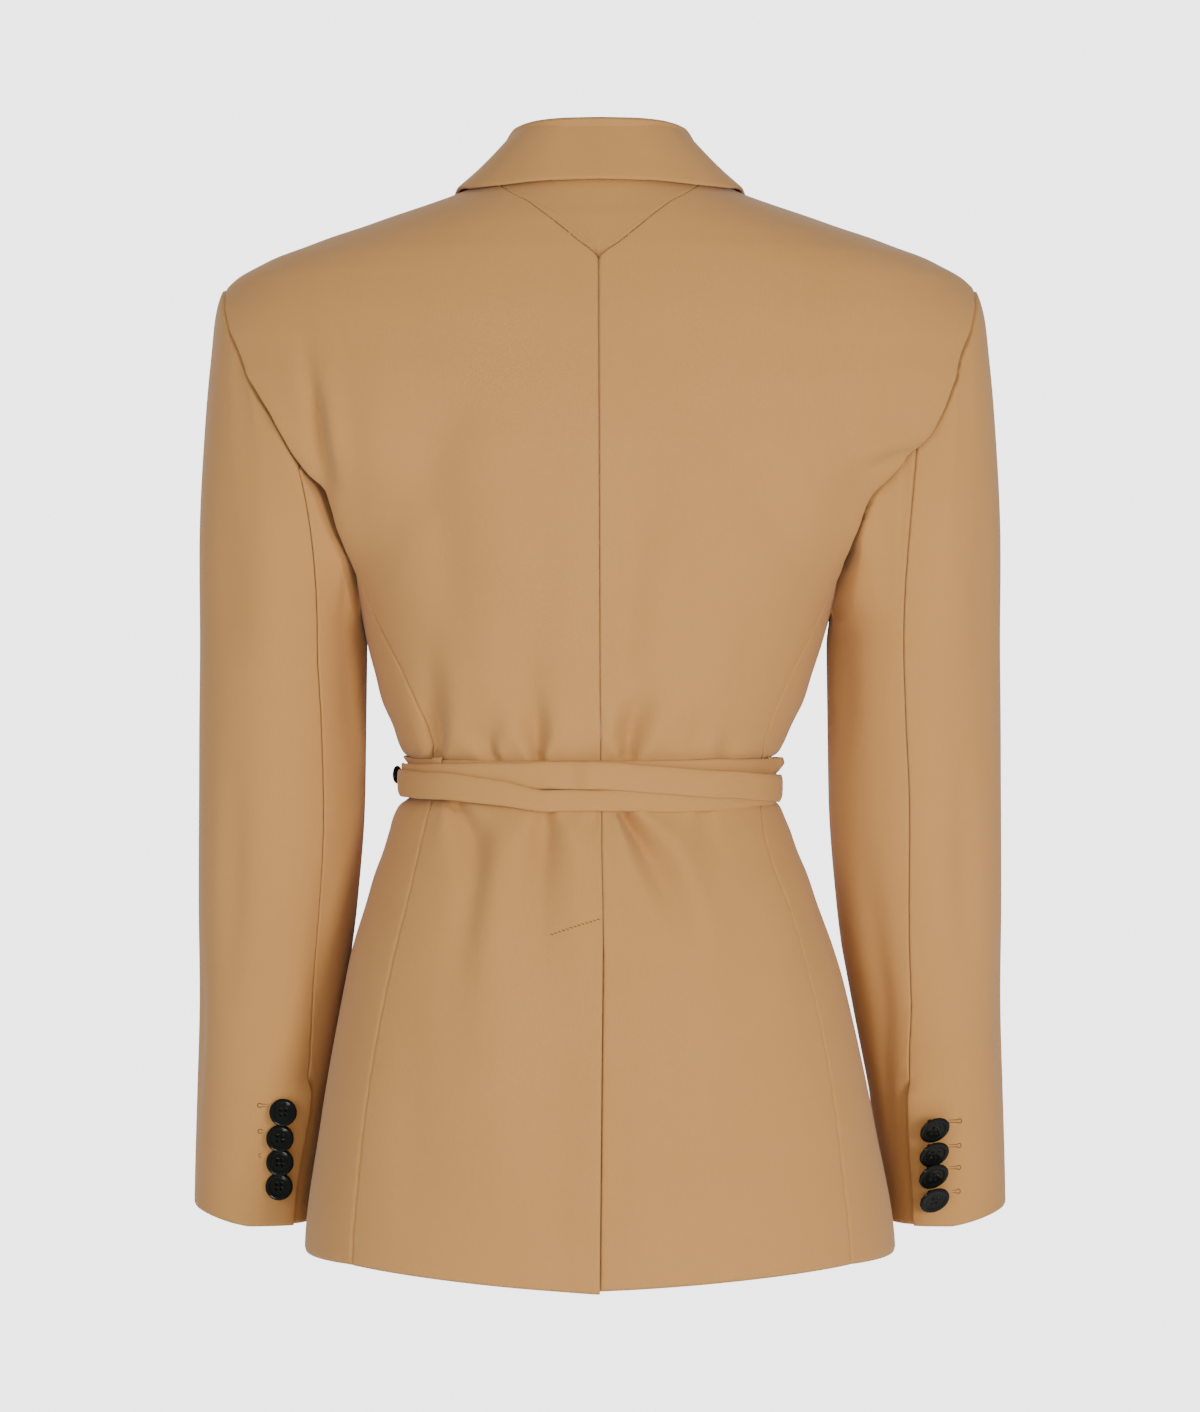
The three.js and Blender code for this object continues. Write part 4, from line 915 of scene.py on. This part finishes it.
def lapel(side, word):
    """Between the roll line and the lapel's edge, with a top that slopes down to the notch."""
    z = np.linspace(LAPEL_TOP, LAPEL_END, 120)[:, None]
    share = spread(40, 0.6)[None, :]
    wide = np.maximum(lapel_edge(z), roll_line(z) + 3) - roll_line(z)
    x = roll_line(z) + wide * share
    own = z - TOP_SLOPE * share * np.clip(1 - (LAPEL_TOP - z) / 130, 0, 1)
    turn = turn_at(side * x, own, True)
    grid = body(turn, own, LAPEL_LIFT + overlap(turn, own, side))
    cloth_piece("lapel_" + word, grid, outward(turn, own), ("edge", "edge", "seam", None))


collar()
for side, word in SIDES:
    lapel(side, word)
print("pieces so far:", len(pieces))

# %% [markdown]
# ## The belt
# One long strap goes round three times. Each turn is a closed outline, a flat rounded bar, carried round
# the waist. Where two turns cross behind, one steps up a layer and the other steps down.

# %% Belt table
# Turn in degrees, middle height of turns 1 to 3, layer of turns 2 and 3, width of turn 3, which
# crumples a little where it passes turn 2. Turns 2 and 3 rise over the belt loops.
BELT = [
    (178, -360, -367, -374, 1, 2, 16.4), (120, -359.5, -364.5, -369, 1, 2, 16.4),
    (90, -359.2, -363.7, -367.5, 1.1, 2.1, 16.4), (74, -359.8, -363.6, -367.5, 1.6, 2.6, 16.4),
    (48, -361, -363.2, -368.2, 1.6, 2.6, 16.4), (26, -361.2, -362.4, -372.6, 1, 2, 15),
    (13, -361.2, -361.7, -376.5, 1, 2, 12.8), (8, -361.2, -361.7, -376.5, 1, 1, 12.8),
    (6, -361.2, -361.7, -376.5, 1, 1, 12.8), (0, -361.2, -361.8, -376.5, 2, 1, 12.8),
    (-17, -361, -363.5, -375.8, 2, 1, 15.2), (-31, -360.8, -365.9, -375.2, 2, 1, 16.4),
    (-46, -360.5, -368, -374.4, 2, 1, 16.4), (-62, -360.3, -369.6, -372.4, 2.6, 1.6, 16.4),
    (-82, -360.1, -370.8, -371.6, 2.3, 1.3, 16.4), (-98, -360, -370.8, -371.6, 2, 1, 16.4),
    (-120, -360, -369.5, -372, 2, 1, 16.4), (-178, -360, -367, -374, 2, 1, 16.4),
]
BELT_WIDE, BELT_THICK, LAYER, BELT_OFF, BELT_Z = 16.4, 2.0, 2.7, 1.6, -366
# Where a turn's free upper part swells out: degrees, how far, and the height in the strap it starts at.
SWELL = {1: [(-88, 7.2, -2.4), (92, 3.6, 3.4)], 2: [(92, 1.6, 4.2)], 3: []}
SWELL_REACH, CROWN, SIDE_CROWN = 16, 0.5, 1.6
print("belt, mm:", BELT_WIDE, "wide and", BELT_THICK, "thick")


# %% Straps
def belt_spot(turn, z, out):
    """The strap stands straight up all round, on the level cut at the belt's middle."""
    turn, z, out = np.broadcast_arrays(np.asarray(turn, float), z, out)
    away = outward(turn, BELT_Z) * np.array([1, 1, 0])
    point = bare(turn, BELT_Z) + unit(away) * out[..., None]
    return np.stack([point[..., 0], point[..., 1], z], -1)


def bar(wide, thick):
    """Outline of a stitched strap: up = wide/2 |cos|^0.5, out = thick/2 |sin|^0.7, with the signs kept."""
    a = np.linspace(0, 2 * np.pi, 24, endpoint=False)
    c, s = np.cos(a), np.sin(a)
    return wide / 2 * np.sign(c) * np.abs(c) ** 0.5, thick / 2 * np.sign(s) * np.abs(s) ** 0.7


def close_ends(grid):
    """The grid with a last row at each end that is drawn together to one point."""
    first, last = (np.broadcast_to(grid[k].mean(0), grid[k].shape)[None] for k in (0, -1))
    return np.concatenate([first, grid, last])


def strap_piece(name, centre_of, steps, wide=BELT_WIDE, thick=BELT_THICK):
    """Carries the bar along a path; centre_of(t, up, out) gives the point at that place in the bar."""
    t = np.linspace(0, 1, steps)[:, None]
    up, out = (half[None, :] for half in bar(wide, thick))
    grid = centre_of(t, up, out)
    piece = mesh_piece(name + "_strap", close_ends(grid)[:, ::-1], suiting, [name], closed=True)
    long = float(arc(grid, 0)[-1].mean()) * MM
    cuts[name] = (piece, (wide * MM, long), wide * MM * long)


print("points round a strap:", len(bar(BELT_WIDE, BELT_THICK)[0]))


# %% Belt turns
def over_front(degrees):
    """Height over the fronts' overlap, which ramps up from 128 to 148 degrees."""
    return 3.2 * np.clip((np.abs(degrees) - 128) / 20, 0, 1)


def belt_turn(number):
    """The bar at the table's heights and layers, with small waves and swells that are added up in along."""
    middle = curve(BELT, number)
    layer = curve(BELT, number + 2) if number > 1 else (lambda degrees: 0 * degrees)
    width = curve(BELT, 6) if number == 3 else (lambda degrees: BELT_WIDE)

    def along(t, up, out):
        degrees = -176.5 + 353 * t
        wave = 0.35 * np.sin(degrees / 7.0 + number) + 0.25 * np.sin(degrees / 3.1 + 2 * number)
        base = BELT_OFF + BELT_THICK / 2 + over_front(degrees) + LAYER * layer(degrees)
        rise = 0
        for at, far, low in SWELL[number]:
            rise = rise + far * np.exp(-(((degrees - at) / SWELL_REACH) ** 2)) * smooth((up - low) / 4.5)
        share = 2 * up / BELT_WIDE
        at_side = np.exp(-(((np.abs(degrees) - 90) / SWELL_REACH) ** 2))
        base = base + rise - CROWN * share**4 - SIDE_CROWN * at_side * np.clip(-share, 0, 1) ** 3
        up = up * width(degrees) / BELT_WIDE
        return belt_spot(degrees * RAD, middle(degrees) + up + 0.5 * wave, base + out + 0.15 * wave * up / 8)

    strap_piece(f"belt_turn_{number}", along, 520)


for number in (1, 2, 3):
    belt_turn(number)
print("belt turns, mm:", [round(cuts[f"belt_turn_{number}"][1][1] / MM) for number in (1, 2, 3)])

# %% Belt loops
# Share of the way down (below 0), z, height, and 1 where the loop goes straight down over the belt.
LOOP = [
    (0, -350.9, 1.2, 0), (-0.1, -351.4, 3, 0.5), (-0.18, -351.8, 5, 1), (-0.5, -361, 5.2, 1),
    (-0.78, -370.5, 5, 1), (-0.88, -371.9, 3.6, 0.5), (-1, -373.2, 2.4, 0),
]
LOOP_WIDE, LOOP_THICK = 8, 1.2


def belt_loop(word, x):
    """A strap down the body that leaves it for the belt: near + (over - near) * the table's last column."""
    z_of, high_of, free_of = (curve(LOOP, column) for column in (1, 2, 3))
    middle = float(turn_at(x, BELT_Z))

    def along(t, up, out):
        turn, z = middle + up / 100, z_of(-t) + 0 * up
        high = high_of(-t) - LOOP_THICK / 2 + out
        near, over = bare(turn, z) + outward(turn, z) * high[..., None], belt_spot(turn, z, high)
        return near + (over - near) * free_of(-t)[..., None]

    strap_piece("belt_loop_" + word, along, 90, wide=LOOP_WIDE, thick=LOOP_THICK)


for word, x in (("left", 95), ("right", -99.5)):
    belt_loop(word, x)

print("belt loops:", sum(name.startswith("belt_loop") for name in cuts))

# %% Knot and hanging ends
TAIL_TOP, TAIL_LONG = -393.3, {1: 172, -1: 186}


def belt_tail(side, word):
    """A strap that hangs down the front and leans outwards: x = side * (10 + 16 t), and away falls as exp."""

    def along(t, up, out):
        z = TAIL_TOP - TAIL_LONG[side] * t
        x = shift(z) + side * (10 + 16 * t) + up
        away = 4.6 + 5 * np.exp(-t * 14) + OVERLAP_LIFT - BELT_THICK / 2
        z = z + 0 * x
        return body(turn_at(x, z, True), z, away + out)

    strap_piece("belt_tail_" + word, along, 200)


for side, word in SIDES:
    belt_tail(side, word)


def knot():
    """A squarish ball (each axis |sin|^0.72) with the strap's folds as two soft ridges across it."""
    low, high = (np.array(corner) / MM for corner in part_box("belt_knot"))
    middle, half = (low + high) / 2, (high - low) / 2
    up = np.linspace(-np.pi / 2, np.pi / 2, 60)[:, None]
    around = np.linspace(0, 2 * np.pi, 96, endpoint=False)[None, :]

    def power(v):
        return np.sign(v) * np.abs(v) ** 0.72

    x, y = power(np.cos(up) * np.cos(around)), power(np.cos(up) * np.sin(around))
    z = power(np.sin(up)) + 0 * around
    ridge = 1 + 0.1 * np.cos((z + 0.35 * x) * 7)
    grid = middle + np.stack([x * half[0] * 0.98, y * half[1] * 0.9 * ridge, z * half[2] * 0.98], -1)
    piece = mesh_piece("belt_knot_form", grid, suiting, ["belt_knot"], closed=True)


knot()
print("pieces so far:", len(pieces))

# %% [markdown]
# ## Buttons
# Polished black four-hole buttons. One profile, from the middle of the face over the rim to the middle
# of the back, is turned round, and four small pits are pressed into the face where the thread goes.

# %% Button finish
HORN_DEEP, HORN_LIGHT = (0.003, 0.0035, 0.0025, 1), (0.009, 0.01, 0.008, 1)
horn = Finish("black_button")
cloud = horn.noise(horn.place(), 160.0, 3.0)
horn.set(Base_Color=horn.blend(cloud, HORN_DEEP, HORN_LIGHT), Roughness=0.08 + cloud * 0.08)
horn.set(Specular_IOR_Level=0.12)

print("material:", horn.material.name)

# %% Button shape
PROFILE = [  # share of the radius, share of the thickness
    (0, 0.72), (0.35, 0.72), (0.64, 0.73), (0.69, 0.9), (0.76, 0.98), (0.83, 1), (0.89, 0.98), (0.94, 0.91),
    (0.98, 0.78), (1, 0.6), (0.98, 0.4), (0.9, 0.18), (0.75, 0.04), (0.5, 0), (0.2, 0), (0, 0),
]
HOLE_OFF, HOLE_WIDE, HOLE_DEEP = 0.17, 0.085, 0.5


def button(name, radius, thick, centre, face, shank):
    """r and h along a smooth profile, turned; holes are h - deep * exp(-(distance/wide)^4) on the face."""
    keys = np.linspace(0, 1, len(PROFILE))
    s = np.linspace(0, 1, 80)
    r, h = (np.interp(s, keys, [p[k] for p in PROFILE]) for k in (0, 1))
    smoothing = np.ones(5) / 5
    r, h = (np.concatenate([v[:2], np.convolve(v, smoothing, "valid"), v[-2:]]) for v in (r, h))
    a = np.linspace(0, 2 * np.pi, 64, endpoint=False)[None, :]
    x, y = r[:, None] * np.cos(a), r[:, None] * np.sin(a)
    height = np.repeat(h[:, None], 64, 1)
    face_side = (s < 0.5)[:, None]
    for hx, hy in ((1, 1), (1, -1), (-1, 1), (-1, -1)):
        gap = np.hypot(x - hx * HOLE_OFF, y - hy * HOLE_OFF) / HOLE_WIDE
        height = height - face_side * HOLE_DEEP * np.exp(-(gap**4))
    face = unit(np.array(face, float))
    level = unit(np.cross([0, 0, 1.0], face))
    upward = np.cross(face, level)
    grid = centre + radius * (x[..., None] * level + y[..., None] * upward) + thick * height[..., None] * face
    mesh_piece(name + "_disc", grid, horn.material, [name], closed=True)
    if shank:
        thread = np.linspace(0, 1, 12)[:, None, None]
        ring = np.linspace(0, 2 * np.pi, 16, endpoint=False)[None, :, None]
        waist = 1.3 - 0.35 * np.sin(np.pi * thread)
        stem = centre + waist * (np.cos(ring) * level + np.sin(ring) * upward) - shank * thread * face
        mesh_piece(name + "_thread", stem[::-1], horn.material, [], closed=True)


print("points of the profile:", len(PROFILE))

# %% Buttons on the cuffs and the belt
# x, z and thread shank of each button; radius; stand-off; the way the faces look.
CUFF_BUTTONS = {
    "left": (
        [(193.8, -569.3, 4.3), (196, -585.6, 4.1), (196.4, -600.8, 2.8), (197.2, -616, 2)],
        8.5, 6.6, (0, 0.985, 0.17),
    ),
    "right": (
        [(-204, -578.6, 7.1), (-204, -594, 7), (-204, -607.8, 6.8), (-204.8, -622.8, 6.7)],
        9.8, 9.6, (-0.33, 0.74, -0.58),
    ),
}
BUTTON_THICK, WAIST_RADIUS = 2.6, 5.6
for word, (spots, radius, away, look) in CUFF_BUTTONS.items():
    for k, (x, z, shank) in enumerate(spots, 1):
        q = (abs(x) - arm_x(z)) / arm_wide(z)
        y = float(arm_y(z) + arm_deep(z) * np.sqrt(max(0, 1 - q * q)))
        button(f"cuff_button_{word}_{k}", radius, BUTTON_THICK, np.array([x, y + away, z]), look, shank)
waist_turn, waist_look = 98 * RAD, 114 * RAD
waist_centre = belt_spot(waist_turn, -362.8, 9.7)
button("waist_button", WAIST_RADIUS, BUTTON_THICK, waist_centre, outward(waist_look, -363), 0)
print("pieces:", len(pieces))

# %% [markdown]
# ## Stitches and buttonholes
# The vent is held at its top by a slanting row of small stitches, and each cuff button has a keyhole
# buttonhole beside it: two lines of dense stitching that end in a small eye. All are fine cords laid on
# the cloth, a tone deeper than it.

# %% Sewing thread
THREAD_DEEP, THREAD_LIGHT = (0.12, 0.052, 0.016, 1), (0.18, 0.08, 0.026, 1)
sewing = Finish("camel_thread")
twist = sewing.noise(sewing.place(), 700.0, 2.0)
sewing.set(Base_Color=sewing.blend(twist, THREAD_DEEP, THREAD_LIGHT), Roughness=0.7 + twist * 0.2)


def cord(name, path, radius):
    """A round cord, path + radius * (cos level + sin above), closed at both ends."""
    along = unit(np.gradient(path, axis=0))
    level = unit(np.cross(along, np.array([0, 1.0, 0])))
    above = np.cross(level, along)
    ring = np.linspace(0, 2 * np.pi, 8, endpoint=False)[None, :, None]
    tube = path[:, None] + radius * (np.cos(ring) * level[:, None] + np.sin(ring) * above[:, None])
    mesh_piece(name, close_ends(tube), sewing.material, [], closed=True)


print("material:", sewing.material.name)

# %% Vent stitches and buttonholes
FIRST_STITCH, LAST_STITCH = np.array([28.4, -455]), np.array([0.8, -446.4])
STITCHES, STITCH_RADIUS = 13, 0.27
run = np.linspace(-1, 1, 7)
for k, t in enumerate(np.linspace(0, 1, STITCHES), 1):
    x, z = FIRST_STITCH + (LAST_STITCH - FIRST_STITCH) * t
    x, z = x + 0.75 * run, z + 0.2 * run
    turn = turn_at(x, z)
    lift = vent_lap(turn, z, 1) + 0.1 + 0.1 * np.cos(1.4 * run)
    cord(f"vent_stitch_{k}", body(turn, z, lift), STITCH_RADIUS)

# Sideways place of the buttonhole's eye, its length, and its height over the button.
KEYHOLE = {1: (208.4, 7.2, 4.4), -1: (220.4, 10, 3.8)}
EYE, KEY_GAP, KEY_RADIUS, KEY_OUT = 1.3, 0.75, 0.32, 0.15
for side, word in SIDES:
    eye_x, long, above = KEYHOLE[side]
    for k, (x, z, shank) in enumerate(CUFF_BUTTONS[word][0], 1):
        bend = np.linspace(-2.5, 2.5, 24)
        in_x = np.concatenate([[long, long * 0.6], EYE * (1 - np.cos(bend)) - EYE, [long * 0.6, long]])
        in_z = np.concatenate([[-KEY_GAP, -KEY_GAP], EYE * np.sin(bend), [KEY_GAP, KEY_GAP]])
        key_x, key_z = eye_x - in_x, z + above + in_z
        angle = np.arccos((key_x - arm_x(key_z)) / arm_wide(key_z))
        cord(f"buttonhole_{word}_{k}", sleeve_ring(side, angle, key_z, KEY_OUT), KEY_RADIUS)
print("pieces:", len(pieces))

# %% [markdown]
# ## What each piece was cut to
# Every cloth piece's cut size, measured along its own surface, is printed below. The belt loops are sewn on
# # the back panels, so they are set apart under those.

loops = {"back_left": [cuts.pop("belt_loop_left")[0]], "back_right": [cuts.pop("belt_loop_right")[0]]}
for name, (piece, flat, area) in cuts.items():
    print(f"{name}: {flat[0] * 1000:.0f} x {flat[1] * 1000:.0f} mm, {area * 1e4:.0f} cm2")

# %% [markdown]
# ## Room, light and camera
# The blazer hangs in the air, so a pale floor lies well below it, and the room is an even pale grey.
# Large soft lights on both sides, behind and in front give cloth its gentle shading, with no hard
# shadows. They would turn the polished buttons grey, so they are hidden from highlights, and one more
# light shows in nothing else.

# %% Room
FLOOR_BELOW, ROOM_LIGHT, ROOM_SEEN = 0.62, 0.5, 3.56
ROOM_TONE, LAMP_TONE = (0.9, 1.0, 1.14, 1), (1.0, 0.985, 0.95)
low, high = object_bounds()
bpy.ops.mesh.primitive_plane_add(size=5, location=(0, 0, low[2] - FLOOR_BELOW))
floor = bpy.context.object
floor.name = "floor"
pale = Finish("pale_floor")
grain = pale.sum("ShaderNodeTexNoise", {}, {"Scale": 30.0}, "Fac")
pale.set(Roughness=0.85 + grain * 0.1)
pale.shader.inputs["Base Color"].default_value = (0.8, 0.8, 0.8, 1)
floor.data.materials.append(pale.material)

world = bpy.data.worlds.new("room")
scene.world = world
world.use_nodes = True
nodes, links = world.node_tree.nodes, world.node_tree.links
direct = nodes.new("ShaderNodeLightPath").outputs["Is Camera Ray"]


def room_mix(kind, light, seen, target):
    """Feeds the background one value as light and another one where the camera sees it directly."""
    mix = nodes.new("ShaderNodeMix")
    mix.data_type = kind
    links.new(direct, mix.inputs["Factor"])
    mix.inputs["A"].default_value, mix.inputs["B"].default_value = light, seen
    links.new(mix.outputs["Result"], nodes["Background"].inputs[target])


room_mix("RGBA", ROOM_TONE, (1, 1, 1, 1), "Color")
room_mix("FLOAT", ROOM_LIGHT, ROOM_SEEN, "Strength")
print("floor at z", round(floor.location.z, 3))


# %% Lights
def soft_light(name, place, size, power, aim=(0, 0, -0.3), glossy=False):
    """An area light that faces aim. A glossy one shows only as a highlight, and the others never do."""
    data = bpy.data.lights.new(name, "AREA")
    data.shape, data.size, data.energy = "SQUARE", size, power
    light = bpy.data.objects.new(name, data)
    scene.collection.objects.link(light)
    light.location, light.visible_glossy, light.visible_diffuse = place, glossy, not glossy
    data.color = LAMP_TONE
    way = np.array(aim) - np.array(place)
    tilt, turn = np.arccos(-way[2] / np.linalg.norm(way)), np.arctan2(way[1], way[0]) - np.pi / 2
    light.rotation_euler = (float(tilt), 0, float(turn))


soft_light("key", (-1.5, 2.3, -0.35), 0.8, 56)
soft_light("fill", (1.5, 2.1, 0.2), 1.0, 25)
soft_light("middle", (0, 3.0, -0.4), 1.2, 23)
soft_light("front_fill", (0.6, -2.2, 0.9), 2.0, 75)
soft_light("spark", (1.1, 2.7, -1.3), 0.6, 110, glossy=True)

# %% Camera
# Lens length is sensor * distance / height of the view, all in the same way up.
CAMERA_FAR, CAMERA_HIGH, FRAME_HIGH, SENSOR = 2.6, -0.3204, 0.8684, 36
camera_data = bpy.data.cameras.new("camera")
camera_data.sensor_fit = "VERTICAL"
camera_data.sensor_height = SENSOR
camera_data.lens = SENSOR * CAMERA_FAR / FRAME_HIGH
camera = bpy.data.objects.new("camera", camera_data)
scene.collection.objects.link(camera)
camera.location = (0, CAMERA_FAR, CAMERA_HIGH)
camera.rotation_euler = (np.pi / 2, 0, np.pi)
scene.camera = camera
print("lens, mm:", round(camera_data.lens, 1))

# %% [markdown]
# ## Finish

# %% Count the pieces
print("pieces made:", len(pieces))
